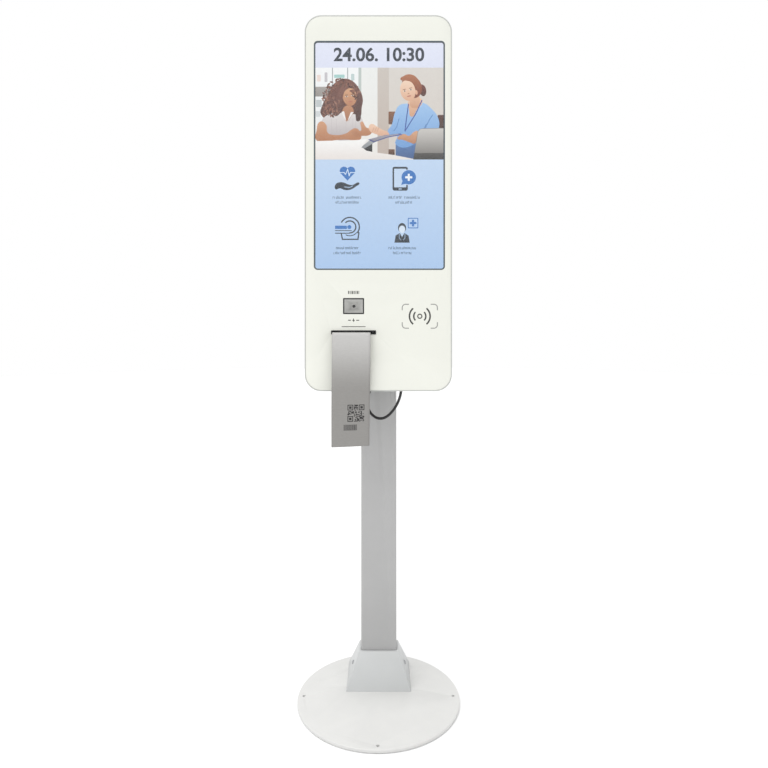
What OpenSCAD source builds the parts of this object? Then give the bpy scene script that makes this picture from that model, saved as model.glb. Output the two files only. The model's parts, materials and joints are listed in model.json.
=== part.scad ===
// Touchscreen kiosk on a free-standing post, in millimetres.
// The origin is the centre of the base's underside: +Z is up, and the screen faces -Y.

/* [Base] */
// Diameter of the round base plate
base_d = 350; // [330:1:430]
// Thickness of the base plate
base_t = 6; // [5:0.5:12]
// Diameter of the rubber mat under the plate
mat_d = 300; // [240:1:305]
// Thickness of the rubber mat
mat_t = 1.5; // [1:0.5:3]
// Diameter of the circle that the four floor anchors stand on
anchor_pcd = 324; // [315:1:326]
// Diameter of the anchor holes
anchor_hole_d = 6.5; // [5:0.5:9]

/* [Post] */
// Width of the post
post_w = 80; // [70:1:100]
// Depth of the post
post_d = 40; // [38:1:48]
// Wall of the post
post_wall = 2; // [1.5:0.5:3]
// Radius of the post's corners
post_r = 4; // [3.5:0.5:6]
// Height of the post's upper end above the floor
post_top = 1170; // [1120:1:1450]
// Distance from the base's centre back to the post's centre
post_y = 76; // [60:1:80]
// Width and depth of the welded flange under the post
foot_w = 128; // [120:1:129]
foot_d = 100; // [90:1:106]
// Thickness of the flange
foot_t = 6; // [5:0.5:8]

/* [Foot cover] */
// Width and depth of the cover on the base
cover_w = 143; // [142:1:175]
cover_d = 123; // [120:1:145]
// Ledge that the cover's upper end makes beside the post, and in front of it
cover_ledge_x = 4; // [3:0.5:10]
cover_ledge_y = 6; // [3:0.5:12]
// Height of the cover
cover_h = 70; // [60:1:100]
// Sheet of the cover
cover_wall = 2; // [1:0.5:2.5]

/* [Head] */
// Width of the head
head_w = 308; // [308:1:380]
// Height of the head
head_h = 786; // [786:1:950]
// Height of the head's lower edge above the floor
head_z = 676; // [600:1:800]
// Distance from the base's centre forward to the glass
head_front = 54.5; // [50:0.5:60]
// Radius of the head's corners
corner_r = 35; // [34:1:60]
// Depth of the door
door_d = 18; // [17:0.5:24]
// Width of the frame's lip beside the glass
rim_w = 2; // [1.5:0.5:3]
// Width of the flange behind the display
flange_w = 30; // [29:0.5:31]
// Thickness of the glass
glass_t = 4; // [3:0.5:5]
// Step in from the door's edge to the housing
inset = 14; // [13:1:20]
// Sheet of the door and of the housing
sheet_t = 1.5; // [1:0.5:2]
// Space between the housing and the post
bracket_d = 26; // [24:1:30]

/* [Display] */
// Outline of the display panel
lcd_w = 292; // [280:1:293]
lcd_h = 496; // [470:1:500]
lcd_t = 10.5; // [9:0.5:11]
// Lit area of the display
view_w = 268; // [250:1:270]
view_h = 476; // [450:1:478]
// Height of the display's centre above the head's lower edge
lcd_up = 493; // [490:1:520]

/* [Scanner, printer and reader] */
// Distance left from the middle to the scanner and the print slot
module_x = 51.8; // [48:0.1:56]
// Width and height of the scanner's opening
scan_w = 44; // [40:1:48]
scan_h = 33.6; // [30:0.2:36]
// Height of the scanner above the head's lower edge
scan_up = 178; // [176:1:190]
// Width and height of the slot's opening
slot_w = 94; // [90:1:98]
slot_h = 8.4; // [7:0.2:9]
// Height of the slot above the head's lower edge
slot_up = 123; // [122:1:128]
// Width of the paper
paper_w = 79.5; // [76:0.5:80]
// Outer diameter of a full paper roll
roll_d = 50; // [44:1:56]
// Radius of the rubber platen roller
platen_r = 7; // [6.5:0.1:7.5]
// Width of the card reader's board
reader_w = 70; // [60:1:76]
// Distance right from the middle to the card reader
reader_x = 76.2; // [70:0.1:80]
// Height of the card reader above the head's lower edge
reader_up = 148.4; // [146:0.1:160]

/* [Lock, hinges and cable] */
// Height of the lock above the head's lower edge
lock_up = 194; // [190:1:205]
// Length of each hinge
hinge_h = 60; // [45:1:72]
// Outer diameter of the cable
cable_d = 6; // [5:0.5:6]

/* [Hidden] */
$fn = 48;
eps = 0.01;
gap = 0.3;        // between pieces that are fitted together by hand
run = 0.05;       // radial play of a shaft in its bore
slip = 0.1;       // radial play of a screw or a stud
paper_t = 0.25;

// Stand
plate_z = mat_t + base_t;
foot_z = plate_z + foot_t;
post_front = post_y - post_d / 2;
post_back = post_y + post_d / 2;
foot_bolt_x = foot_w / 2 - 9;
foot_bolt_y = foot_d / 2 - 10;
bolt_r = 4;
cover_z = plate_z + cover_h;
cover_top_w = post_w + 2 * cover_ledge_x;
cover_top_d = post_d + 2 * cover_ledge_y;
cover_run = (cover_w - cover_top_w) / 2 / cover_h;
cover_tilt = atan(cover_run);
cover_screw_z = plate_z + cover_h * 0.46;
cover_screw_r = 2.5;

// Head
front_y = -head_front;
door_back = front_y + door_d;
glass_back = front_y + glass_t;
head_mid = head_z + head_h / 2;
ledge_w = 5;
tape_t = 0.5;
gasket_t = 2;
seal_t = 2;
seal_w = 8;
tray_w = head_w - 2 * inset;
tray_h = head_h - 2 * inset;
tray_r = corner_r - inset + 3;
tray_front = door_back + gap + seal_t;
tray_back = post_front - bracket_d;
tray_in = tray_back - sheet_t;
tray_z = head_z + inset;
tray_floor = tray_z + sheet_t;
lcd_z = head_z + lcd_up;
lcd_back = door_back - sheet_t;
lcd_front = lcd_back - lcd_t;
flange_in_w = head_w - 2 * rim_w - 2 * flange_w;
flange_in_h = head_h - 2 * rim_w - 2 * flange_w;

// Plate behind the glass that carries the modules
mplate_w = tray_w - 2 * seal_w - 4;
mplate_z0 = tray_z + sheet_t + seal_w + 1.5;
mplate_z1 = lcd_z - lcd_h / 2 - 9;
mplate_back = door_back + sheet_t;
mscrew_x = flange_in_w / 2 + 4;
m3 = 1.5;

// Scanner
scan_z = head_z + scan_up;
scan_border = 2.7;
scan_deep = 14.5;
lens_r = 3;
engine_w = 24;
engine_h = 18;
engine_d = 22;

// Printer: the paper leaves the roll at the back, turns over a guide and runs forward
slot_z = head_z + slot_up;
paper_x = -module_x - 4.2;
nip = 0.1;
side_in = paper_w / 2 + 3.25;
side_t = 2;
platen_y = door_back + sheet_t + 15;
platen_z = slot_z - paper_t / 2 - nip - platen_r;
roll_r = roll_d / 2;
roll_gap = 6;
roll_y = tray_in - roll_gap - roll_r;
roll_z = tray_floor + seal_w + 2 + roll_r;
guide_r = 8;
guide_y = roll_y + roll_r - guide_r;
guide_z = slot_z - paper_t / 2 - nip - guide_r;
side_y0 = mplate_back;
side_y1 = roll_y + roll_r;
side_z0 = roll_z - 12;
side_z1 = slot_z + 24;
blade_y = mplate_back + 3;
blade_t = 1;
blade_up = 2;
cut_h = 22;
spindle_r = 3;
core_r = 10;
shaft_r = 3;
motor_a = 24;
motor_l = 30;
motor_y = platen_y + 1;
motor_z = platen_z - platen_r - 2.5 - motor_a / 2;
lever_y = platen_y + 12;
lever_z = slot_z + 12;
lever_l = 28;

// Gears, in the plane across the shafts
platen_t = 24;
idler_t = 20;
pinion_t = 12;
backlash = 0.22;
gear_x = paper_x - side_in - side_t - 1;
gear_t = 5;
near_r = (platen_t + idler_t) / 2;
far_r = (pinion_t + idler_t) / 2;
axle_gap = norm([motor_y - platen_y, motor_z - platen_z]);
along = (near_r * near_r - far_r * far_r + axle_gap * axle_gap) / 2 / axle_gap;
aside = sqrt(near_r * near_r - along * along);
train_y = (motor_y - platen_y) / axle_gap;
train_z = (motor_z - platen_z) / axle_gap;
idler_y = platen_y + along * train_y - aside * train_z;
idler_z = platen_z + along * train_z + aside * train_y;
turn_a = atan2(idler_z - platen_z, idler_y - platen_y);
turn_b = atan2(motor_z - idler_z, motor_y - idler_y);
idler_turn = turn_a + 180 + turn_a * platen_t / idler_t + 180 / idler_t;
pinion_turn = turn_b + 180 - (idler_turn - turn_b) * idler_t / pinion_t + 180 / pinion_t;

// Door hinges on the left
hinge_x = -head_w / 2 + 3;
hinge_y = door_back + 3;
hinge_r = 2.5;
hinge_pin = 1.5;
hinge_zs = [head_z + 84, head_mid, head_z + head_h - 84];
leaf_t = 1.5;

// Lock in the right side of the housing
lock_y = door_back + 31.5;
lock_z = head_z + lock_up;
lock_r = 9.5;
plug_r = 6;
tail_r = 3.5;
catch_reach = 18;
catch_r = 2.5;
tray_side = tray_w / 2;
cam_x = tray_side - 29;
cam_t = 3;

// Bracket between housing and post
bracket_h = 220;
bracket_z = post_top - bracket_h / 2 - 2;
bracket_t = 3;
bracket_w = 130;
bracket_bolt_x = post_w / 2 - 18;
bracket_bolt_z = 70;
head_screw_x = (bracket_w + post_w) / 4 + 1;
head_screw_z = 80;

// Underside and rear of the housing, and the inlet at the foot of the post
gland_x = 49;
gland_hole_r = 6;
socket_x = 76;
switch_x = 106;
inlet_z = plate_z + 120;
inlet_w = 28;
inlet_h = 20;
entry_x = -8;
entry_z = 712;
entry_r = 7;
lead_turn = 24;
cable_slack = 0.9;

// Boards, power supply and speakers in the housing
board_w = 170;
board_z = head_mid + 170;
board_y = tray_in - 6;
supply_z = head_mid - 100;
speaker_z = head_mid - 60;

// Rocker switch on the underside
rock_z = tray_z + 1;
rock_tilt = 8;
rock_pin = 1.2;
rock_pin_l = 11.2;

// Cable from the housing's underside to the post
cable_r = cable_d / 2;
cable_way = [[49, 0, 695], [49, 0, 684], [49, 0, 671], [46, 1, 656], [39.5, 2, 640],
             [30, 4, 625.5], [19, 7, 614.5], [7, 10, 609], [-6, 14, 610.5], [-17, 18, 619],
             [-23.5, 22, 631], [-25, 25, 644], [-23, 28, 657], [-18.5, 30, 669],
             [-13.5, 32, 681], [-10, 34, 692], [-8, 38.5, 702.5], [-8, 46.5, 709.5],
             [-8, 56, 712], [-8, 61.8, 712]];
cable_steps = 3;
cable_sides = 10;

// Receipt outside the slot, seen from the side
slip_out = 6;
slip_bend = 7;
slip_drop = 228;
slip_lean = 0.5;

// Shared shapes

// A drawing in X and Z, made solid from y0 to y1
module slab(y0, y1) {
    translate([0, y1, 0]) rotate([90, 0, 0]) linear_extrude(y1 - y0) children();
}

// A drawing in Y and Z, made solid from x0 to x1
module bar(x0, x1) {
    translate([x0, 0, 0]) rotate([90, 0, 90]) linear_extrude(x1 - x0) children();
}

module round_rect(w, h, r) {
    square([w - 2 * r, h], center = true);
    square([w, h - 2 * r], center = true);
    for (x = [-1, 1], y = [-1, 1]) translate([x * (w / 2 - r), y * (h / 2 - r)]) circle(r);
}

module ring(w, h, r, wall) {
    difference() {
        round_rect(w, h, r);
        round_rect(w - 2 * wall, h - 2 * wall, max(r - wall, 0.5));
    }
}

module slot_shape(w, h) {
    square([w - h, h], center = true);
    for (x = [-1, 1]) translate([x * (w - h) / 2, 0]) circle(h / 2);
}

// A box between two corners
module block(a, b) {
    translate(a) cube(b - a);
}

module rod_x(x0, x1, y, z, r) {
    translate([x0, y, z]) rotate([0, 90, 0]) cylinder(r = r, h = x1 - x0);
}

module rod_y(x, y0, y1, z, r) {
    translate([x, y0, z]) rotate([-90, 0, 0]) cylinder(r = r, h = y1 - y0);
}

// A screw along Y with its head at the back: y is the plane under the head
module screw_y(x, y, z, r, deep) {
    rod_y(x, y - deep, y, z, r);
    rod_y(x, y, y + 1.3 * r, z, 1.9 * r);
}

// A block whose four sides lean in from its lower end to its upper end
module frustum(w0, d0, w1, d1, h) {
    intersection() {
        translate([0, d0 / 2, 0]) rotate([90, 0, 0]) linear_extrude(d0)
            polygon([[-w0 / 2, 0], [w0 / 2, 0], [w1 / 2, h], [-w1 / 2, h]]);
        translate([-w0 / 2, 0, 0]) rotate([90, 0, 90]) linear_extrude(w0)
            polygon([[-d0 / 2, 0], [d0 / 2, 0], [d1 / 2, h], [-d1 / 2, h]]);
    }
}

// Involute gears of module 1 with short teeth
function polar(r, a) = [r * cos(a), r * sin(a)];
function involute(r, base) = r <= base ? 0 : tan(acos(base / r)) * 180 / PI - acos(base / r);
function half_tooth(t, r) =
    90 / t + involute(t / 2, t / 2 * cos(20)) - involute(r, t / 2 * cos(20))
    - backlash / t * 180 / PI;
function gear_radii(t) = [t / 2 - 1.1, t / 2 - 0.35, t / 2 + 0.2, t / 2 + 0.8];

module gear(x0, x1, y, z, t, turn, bore) {
    radii = gear_radii(t);
    last = len(radii) - 1;
    bar(x0, x1) translate([y, z]) difference() {
        polygon([for (i = [0 : t - 1], side = [-1, 1], k = [0 : last])
            let (r = side < 0 ? radii[k] : radii[last - k])
            polar(r, turn + i * 360 / t + side * half_tooth(t, r))]);
        circle(bore);
    }
}

// A tube swept along a smooth curve through a list of points
function curve_at(p, i, t) =
    let (a = p[max(i - 1, 0)], b = p[i], c = p[i + 1], d = p[min(i + 2, len(p) - 1)])
    0.5 * (2 * b + (c - a) * t + (2 * a - 5 * b + 4 * c - d) * t * t
    + (3 * b - a - 3 * c + d) * t * t * t);
function unit(v) = v / norm(v);
module tube_along(way, steps, r, sides) {
    line = concat([for (i = [0 : len(way) - 2], s = [0 : steps - 1]) curve_at(way, i, s / steps)],
                  [way[len(way) - 1]]);
    last = len(line) - 1;
    rings = [for (i = [0 : last])
        let (dir = i == 0 ? line[1] - line[0] : i == last ? line[last] - line[last - 1]
             : line[i + 1] - line[i - 1],
             u = unit(cross(unit(dir), [0.5, 1, -1])), v = cross(unit(dir), u))
        for (k = [0 : sides - 1])
            line[i] + r * cos(360 * k / sides) * u + r * sin(360 * k / sides) * v];
    skin = [for (i = [0 : last - 1], k = [0 : sides - 1])
        let (n = (k + 1) % sides)
        [i * sides + k, i * sides + n, (i + 1) * sides + n, (i + 1) * sides + k]];
    ends = [[for (k = [sides - 1 : -1 : 0]) k], [for (k = [0 : sides - 1]) last * sides + k]];
    polyhedron(rings, concat(ends, skin), convexity = 6);
}

// Stand

module floor_mat() {
    color("dimgray") cylinder(d = mat_d, h = mat_t, $fn = 96);
}

module foot_places() {
    for (x = [-1, 1], y = [-1, 1]) translate([x * foot_bolt_x, post_y + y * foot_bolt_y, 0])
        children();
}

module base_plate() {
    color("gainsboro") difference() {
        rotate_extrude($fn = 96)
            polygon([[0, mat_t], [base_d / 2, mat_t], [base_d / 2, plate_z - 1],
                     [base_d / 2 - 1, plate_z], [0, plate_z]]);
        for (a = [0 : 90 : 270]) rotate(a) translate([anchor_pcd / 2, 0, mat_t - eps])
            cylinder(d = anchor_hole_d, h = base_t + 2 * eps);
        foot_places() translate([0, 0, mat_t - eps]) cylinder(r = bolt_r, h = base_t + 2 * eps);
    }
}

module foot_flange() {
    color("silver") difference() {
        translate([0, post_y, plate_z]) linear_extrude(foot_t) round_rect(foot_w, foot_d, 8);
        foot_places() translate([0, 0, plate_z - eps])
            cylinder(r = bolt_r + gap, h = foot_t + 2 * eps);
        translate([0, post_y, plate_z - eps]) linear_extrude(foot_t + 2 * eps)
            round_rect(post_w - 30, post_d - 16, 4);
    }
}

module flange_bolts() {
    color("darkgray") foot_places() difference() {
        union() {
            translate([0, 0, mat_t + 1]) cylinder(r = bolt_r - slip, h = foot_z - mat_t - 1);
            translate([0, 0, foot_z]) cylinder(r = 6.5, h = 8);
        }
        translate([0, 0, foot_z + 3.5]) cylinder(r = 3.5, h = 5, $fn = 6);
    }
}

module bracket_bolt_places() {
    for (x = [-1, 1], z = [-1, 1])
        translate([x * bracket_bolt_x, 0, bracket_z + z * bracket_bolt_z]) children();
}

module post() {
    color("silver") difference() {
        translate([0, post_y, foot_z]) linear_extrude(post_top - foot_z)
            ring(post_w, post_d, post_r, post_wall);
        bracket_bolt_places() rod_y(0, post_front - 1, post_back + 1, 0, bolt_r + gap);
        rod_y(entry_x, post_front - 1, post_front + post_wall + 1, entry_z, entry_r + slip);
        block([-inlet_w / 2 - slip, post_back - post_wall - 1, inlet_z - slip],
              [inlet_w / 2 + slip, post_back + 1, inlet_z + inlet_h + slip]);
    }
}

module post_cap() {
    color("dimgray") {
        translate([0, post_y, post_top]) linear_extrude(3) round_rect(post_w, post_d, post_r);
        translate([0, post_y, post_top - 10]) linear_extrude(10 + eps)
            ring(post_w - 2 * post_wall - 2 * gap, post_d - 2 * post_wall - 2 * gap,
                 post_r - post_wall, 2);
    }
}

// The clips and screws that hold the cover lie across its left and right sides
module cover_axes() {
    for (side = [0, 180]) translate([0, post_y, 0]) rotate(side)
        translate([cover_w / 2 - (cover_screw_z - plate_z) * cover_run, 0, cover_screw_z])
        rotate([0, 90 - cover_tilt, 0]) children();
}

module foot_cover() {
    top_play = 0.4;
    wall_x = 2 * cover_wall / cos(cover_tilt);
    wall_y = 2 * cover_wall / cos(atan((cover_d - cover_top_d) / 2 / cover_h));
    low_w = cover_w - wall_x;
    low_d = cover_d - wall_y;
    inner_h = cover_h - cover_wall;
    in_w = low_w - 2 * inner_h * cover_run;
    in_d = low_d - inner_h * (cover_d - cover_top_d) / cover_h;
    color("gainsboro") difference() {
        translate([0, post_y, plate_z])
            frustum(cover_w, cover_d, cover_top_w, cover_top_d, cover_h);
        translate([0, post_y, plate_z - eps]) frustum(low_w, low_d, in_w, in_d, inner_h);
        translate([0, post_y, plate_z]) linear_extrude(cover_h + 1)
            round_rect(post_w + 2 * top_play, post_d + 2 * top_play, post_r);
        cover_axes() translate([0, 0, -10]) cylinder(r = cover_screw_r + slip, h = 20);
    }
}

module cover_clips() {
    inner = cover_w / 2 - cover_wall / cos(cover_tilt) - 0.7;
    low = inner - foot_t * cover_run;
    high = low - 40 * cover_run;
    thick = 3;
    color("silver") difference() {
        for (side = [0, 180]) translate([0, post_y, 0]) rotate(side)
            translate([0, 10, 0]) rotate([90, 0, 0]) linear_extrude(20)
            polygon([[low - thick - 12, foot_z], [min(low, foot_w / 2), foot_z],
                     [low - 2 * cover_run, foot_z + 2], [high, foot_z + 40],
                     [high - thick, foot_z + 40], [low - thick - 2 * cover_run, foot_z + 2],
                     [low - thick - 12, foot_z + 2]]);
        cover_axes() translate([0, 0, -12]) cylinder(r = cover_screw_r, h = 14);
    }
}

module cover_screws() {
    color("gray") cover_axes() difference() {
        union() {
            translate([0, 0, -7]) cylinder(r = cover_screw_r - slip, h = 7);
            cylinder(r = 4.75, h = 1.2);
            translate([0, 0, 1.2]) cylinder(r1 = 4.75, r2 = 3, h = 1.3);
        }
        translate([0, 0, 1]) cylinder(r = 1.7, h = 2, $fn = 6);
    }
}

module mains_inlet() {
    color("black") difference() {
        union() {
            translate([0, 0, inlet_z + inlet_h / 2]) slab(post_back, post_back + 2)
                round_rect(inlet_w + 20, inlet_h + 5, 3);
            block([-inlet_w / 2, post_back - post_wall - 16, inlet_z],
                  [inlet_w / 2, post_back, inlet_z + inlet_h]);
        }
        translate([0, 0, inlet_z + inlet_h / 2]) slab(post_back - 12, post_back + 3)
            round_rect(inlet_w - 4, inlet_h - 4, 3);
        for (x = [-1, 1]) rod_y(x * (inlet_w / 2 + 6), post_back - 1, post_back + 3,
                                inlet_z + inlet_h / 2, 1.7);
    }
    color("gold") for (x = [-7, 0, 7])
        block([x - 1, post_back - 12.5, inlet_z + inlet_h / 2 - 2],
              [x + 1, post_back - 4, inlet_z + inlet_h / 2 + 2]);
}

module post_lead() {
    lead_y = 62 + lead_turn;
    color("black") {
        translate([entry_x, 62, entry_z - lead_turn]) rotate([0, -90, 0])
            rotate_extrude(angle = 90) translate([lead_turn, 0]) circle(cable_r);
        translate([entry_x, lead_y, inlet_z + inlet_h])
            cylinder(r = cable_r, h = entry_z - lead_turn - inlet_z - inlet_h);
    }
}

module cable_grommet() {
    color("black") difference() {
        union() {
            rod_y(entry_x, post_front - 3, post_front, entry_z, entry_r + 2.5);
            rod_y(entry_x, post_front - eps, post_front + post_wall + 2, entry_z, entry_r);
        }
        rod_y(entry_x, post_front - 4, post_front + post_wall + 3, entry_z, cable_r + cable_slack);
    }
}

module cable_loop() {
    color("black") tube_along(cable_way, cable_steps, cable_r, cable_sides);
}

module cable_gland() {
    color("black") difference() {
        union() {
            translate([gland_x, 0, tray_z - 5]) cylinder(r = 9.5, h = 5, $fn = 6);
            translate([gland_x, 0, tray_z - 11]) cylinder(r1 = 5.5, r2 = 8, h = 6);
            translate([gland_x, 0, tray_z - eps])
                cylinder(r = gland_hole_r - slip, h = sheet_t + 6);
            translate([gland_x, 0, tray_floor]) cylinder(r = 9.5, h = 4, $fn = 6);
        }
        translate([gland_x, 0, tray_z - 12]) cylinder(r = cable_r + gap, h = 24);
    }
}

module mount_bracket() {
    half = post_w / 2;
    color("silver") difference() {
        union() {
            translate([0, 0, bracket_z]) {
                slab(tray_back, tray_back + bracket_t) round_rect(bracket_w, bracket_h, 6);
                slab(post_front - bracket_t, post_front)
                    square([2 * half, bracket_h], center = true);
            }
            for (x = [-half, half - bracket_t])
                block([x, tray_back + 1, bracket_z - bracket_h / 2],
                      [x + bracket_t, post_front - 1, bracket_z + bracket_h / 2]);
        }
        bracket_bolt_places() rod_y(0, post_front - bracket_t - 1, post_front + 1, 0, bolt_r + gap);
        head_screw_places() rod_y(0, tray_back - 1, tray_back + bracket_t + 1, 0, 3 + gap);
    }
}

module head_screw_places() {
    for (x = [-1, 1], z = [-1, 1])
        translate([x * head_screw_x, 0, bracket_z + z * head_screw_z]) children();
}

module bracket_bolts() {
    color("darkgray") bracket_bolt_places() {
        difference() {
            union() {
                rod_y(0, post_front - bracket_t - 9, post_back + eps, 0, bolt_r - slip);
                rod_y(0, post_back, post_back + 4.5, 0, 7.5);
            }
            translate([0, post_back + 1.5, 0]) rotate([-90, 0, 0])
                cylinder(r = 3, h = 4, $fn = 6);
        }
        difference() {
            translate([0, post_front - bracket_t - 6.5, 0]) rotate([-90, 0, 0])
                cylinder(r = 7.5, h = 6.5, $fn = 6);
            rod_y(0, post_front - bracket_t - 8, post_front, 0, bolt_r);
        }
    }
}

module head_screws() {
    color("darkgray") head_screw_places() {
        difference() {
            union() {
                rod_y(0, tray_in - 7, tray_back + bracket_t + eps, 0, 3 - slip);
                rod_y(0, tray_back + bracket_t, tray_back + bracket_t + 3.5, 0, 5.5);
            }
            translate([0, tray_back + bracket_t + 1.5, 0]) rotate([-90, 0, 0])
                cylinder(r = 2.2, h = 3, $fn = 6);
        }
        difference() {
            translate([0, tray_in - 5, 0]) rotate([-90, 0, 0]) cylinder(r = 5.7, h = 5, $fn = 6);
            rod_y(0, tray_in - 6, tray_back, 0, 3);
        }
    }
}

// Housing

module vent_rows(z, rows) {
    for (x = [-84, 0, 84], i = [0 : rows - 1])
        translate([x, z + 10 * i]) slot_shape(64, 4);
}

module rear_housing() {
    vent_z = 46;
    color("gainsboro") difference() {
        union() {
            translate([0, 0, head_mid]) {
                slab(tray_front, tray_back) ring(tray_w, tray_h, tray_r, sheet_t);
                slab(tray_in, tray_back) round_rect(tray_w, tray_h, tray_r);
                slab(tray_front, tray_front + sheet_t)
                    ring(tray_w, tray_h, tray_r, sheet_t + seal_w);
            }
        }
        slab(tray_in - 1, tray_back + 1) {
            vent_rows(tray_z + vent_z, 6);
            vent_rows(tray_z + tray_h - vent_z - 50, 6);
        }
        head_screw_places() rod_y(0, tray_in - 1, tray_back + 1, 0, 3 + gap);
        rod_x(tray_side - 3, tray_side + 1, lock_y, lock_z, lock_r + slip);
        translate([gland_x, 0, tray_z - 1]) cylinder(r = gland_hole_r, h = 4);
        block([socket_x - 8.2, -7.2, tray_z - 1], [socket_x + 8.2, 7.2, tray_floor + 1]);
        block([switch_x - 6.7, -12.2, tray_z - 1], [switch_x + 6.7, 12.2, tray_floor + 1]);
        for (side = [-1, 1], i = [-3 : 3])
            block([side * tray_side - 3, -16, speaker_z + i * 8 - 2],
                  [side * tray_side + 3, 12, speaker_z + i * 8 + 2]);
    }
}

module door_seal() {
    color("black") translate([0, 0, head_mid]) slab(tray_front - seal_t, tray_front)
        ring(tray_w - 2 * sheet_t, tray_h - 2 * sheet_t, tray_r - sheet_t, seal_w);
}

// Knuckles take turns along each hinge: the housing has the outer two, the door the middle one
module knuckle(z0, z1) {
    translate([hinge_x, hinge_y, z0]) cylinder(r = hinge_r, h = z1 - z0);
}

module hinge_bore(z) {
    translate([hinge_x, hinge_y, z - hinge_h]) cylinder(r = hinge_pin + run, h = 2 * hinge_h);
}

module hinge_leaves_fixed() {
    third = hinge_h / 3;
    arm = hinge_y + 0.3;
    color("silver") for (z = hinge_zs) difference() {
        union() {
            for (end = [[z - 1.5 * third, z - 0.5 * third - 0.15],
                        [z + 0.5 * third + 0.15, z + 1.5 * third]]) {
                knuckle(end[0], end[1]);
                block([hinge_x, arm, end[0]], [hinge_x + 4, arm + leaf_t, end[1]]);
            }
            block([hinge_x + 3.2, arm, z - 1.5 * third],
                  [-tray_side, arm + leaf_t, z + 1.5 * third]);
            block([-tray_side - leaf_t, arm, z - 1.5 * third],
                  [-tray_side, arm + 24, z + 1.5 * third]);
        }
        hinge_bore(z);
    }
}

module hinge_leaves_door() {
    third = hinge_h / 3;
    color("silver") for (z = hinge_zs) difference() {
        union() {
            knuckle(z - 0.5 * third + 0.15, z + 0.5 * third - 0.15);
            block([hinge_x, door_back, z - 0.5 * third + 0.15],
                  [hinge_x + 4, door_back + leaf_t, z + 0.5 * third - 0.15]);
            block([hinge_x + 3.2, door_back, z - 1.5 * third],
                  [-tray_side - 0.6, door_back + leaf_t, z + 1.5 * third]);
        }
        hinge_bore(z);
    }
}

module hinge_pins() {
    color("darkgray") for (z = hinge_zs) {
        translate([hinge_x, hinge_y, z - hinge_h / 2 - 1])
            cylinder(r = hinge_pin, h = hinge_h + 2);
        for (end = [z - hinge_h / 2 - 2, z + hinge_h / 2 + 0.2])
            translate([hinge_x, hinge_y, end]) cylinder(r = hinge_pin + 0.8, h = 1.8);
    }
}

module mainboard() {
    color("darkgreen") {
        translate([0, 0, board_z]) slab(board_y - 1.6, board_y)
            square([board_w, board_w], center = true);
        for (x = [-1, 1], z = [-1, 1])
            rod_y(x * (board_w / 2 - 6), board_y - eps, tray_in, board_z + z * (board_w / 2 - 6), 3);
    }
    color("dimgray") {
        block([-70, board_y - 5.6, board_z - 60], [-58, board_y - 1.6, board_z + 60]);
        block([-50, board_y - 5.6, board_z - 60], [-38, board_y - 1.6, board_z + 60]);
        for (i = [0 : 3]) block([-72 + 34 * i, board_y - 15.6, board_z - 85],
                                [-48 + 34 * i, board_y - 1.6, board_z - 68]);
        block([44, board_y - 7.6, board_z - 40], [74, board_y - 1.6, board_z - 10]);
    }
}

module heat_sink() {
    back = board_y - 1.6;
    color("darkgray") {
        block([-20, back - 5, board_z - 35], [40, back, board_z + 35]);
        for (i = [0 : 10]) block([-20 + 5.8 * i, back - 24, board_z - 35],
                                 [-18 + 5.8 * i, back - 5 + eps, board_z + 35]);
    }
}

module power_supply() {
    color("silver") difference() {
        block([-44, tray_in - 36, supply_z - 55], [44, tray_in, supply_z + 55]);
        for (x = [-3 : 3], z = [0 : 8])
            rod_y(12 * x, tray_in - 37, tray_in - 34.5, supply_z - 48 + 12 * z, 3);
    }
    color("black") block([44, tray_in - 16, supply_z - 45], [52, tray_in - 4, supply_z - 10]);
}

module speakers() {
    color("black") for (side = [0, 1]) mirror([side, 0, 0]) {
        block([tray_side - sheet_t - 22, -18, speaker_z - 34],
              [tray_side - sheet_t, 14, speaker_z + 34]);
        rod_x(tray_side - sheet_t - 28, tray_side - sheet_t - 22 + eps, -2, speaker_z, 11);
    }
}

module network_socket() {
    color("silver") difference() {
        block([socket_x - 8, -7, tray_z - 0.5], [socket_x + 8, 7, tray_z + 16]);
        block([socket_x - 6, -4.5, tray_z - 1], [socket_x + 6, 4, tray_z + 11]);
    }
}

module switch_bezel() {
    color("black") difference() {
        union() {
            block([switch_x - 9, -15, tray_z - 2], [switch_x + 9, 15, tray_z]);
            block([switch_x - 6.5, -12, tray_z - eps], [switch_x + 6.5, 12, tray_z + 18]);
        }
        block([switch_x - 4.8, -10.4, tray_z - 3], [switch_x + 4.8, 10.4, tray_z + 8]);
        rod_x(switch_x - rock_pin_l / 2 - slip, switch_x + rock_pin_l / 2 + slip, 0, rock_z,
              rock_pin + run);
    }
}

module switch_rocker() {
    color("dimgray") translate([switch_x, 0, rock_z]) rotate([-rock_tilt, 0, 0]) {
        bar(-4.5, 4.5) polygon([[-9.6, -3.6], [-3, -2.6], [3, -2.6], [9.6, -3.6], [8.6, 2],
                                [2, 4.5], [-2, 4.5], [-8.6, 2]]);
        rod_x(-rock_pin_l / 2, rock_pin_l / 2, 0, 0, rock_pin);
    }
}

// Lock

module lock_barrel() {
    color("silver") difference() {
        union() {
            rod_x(tray_side - 23, tray_side + eps, lock_y, lock_z, lock_r);
            rod_x(tray_side, tray_side + 2.5, lock_y, lock_z, lock_r + 2.5);
        }
        rod_x(tray_side - 24, tray_side + 4, lock_y, lock_z, plug_r + run);
    }
}

module lock_nut() {
    color("darkgray") difference() {
        translate([tray_side - sheet_t - 5, lock_y, lock_z]) rotate([0, 90, 0])
            cylinder(r = 13.5, h = 5, $fn = 6);
        rod_x(tray_side - 10, tray_side, lock_y, lock_z, lock_r + slip);
    }
}

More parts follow.
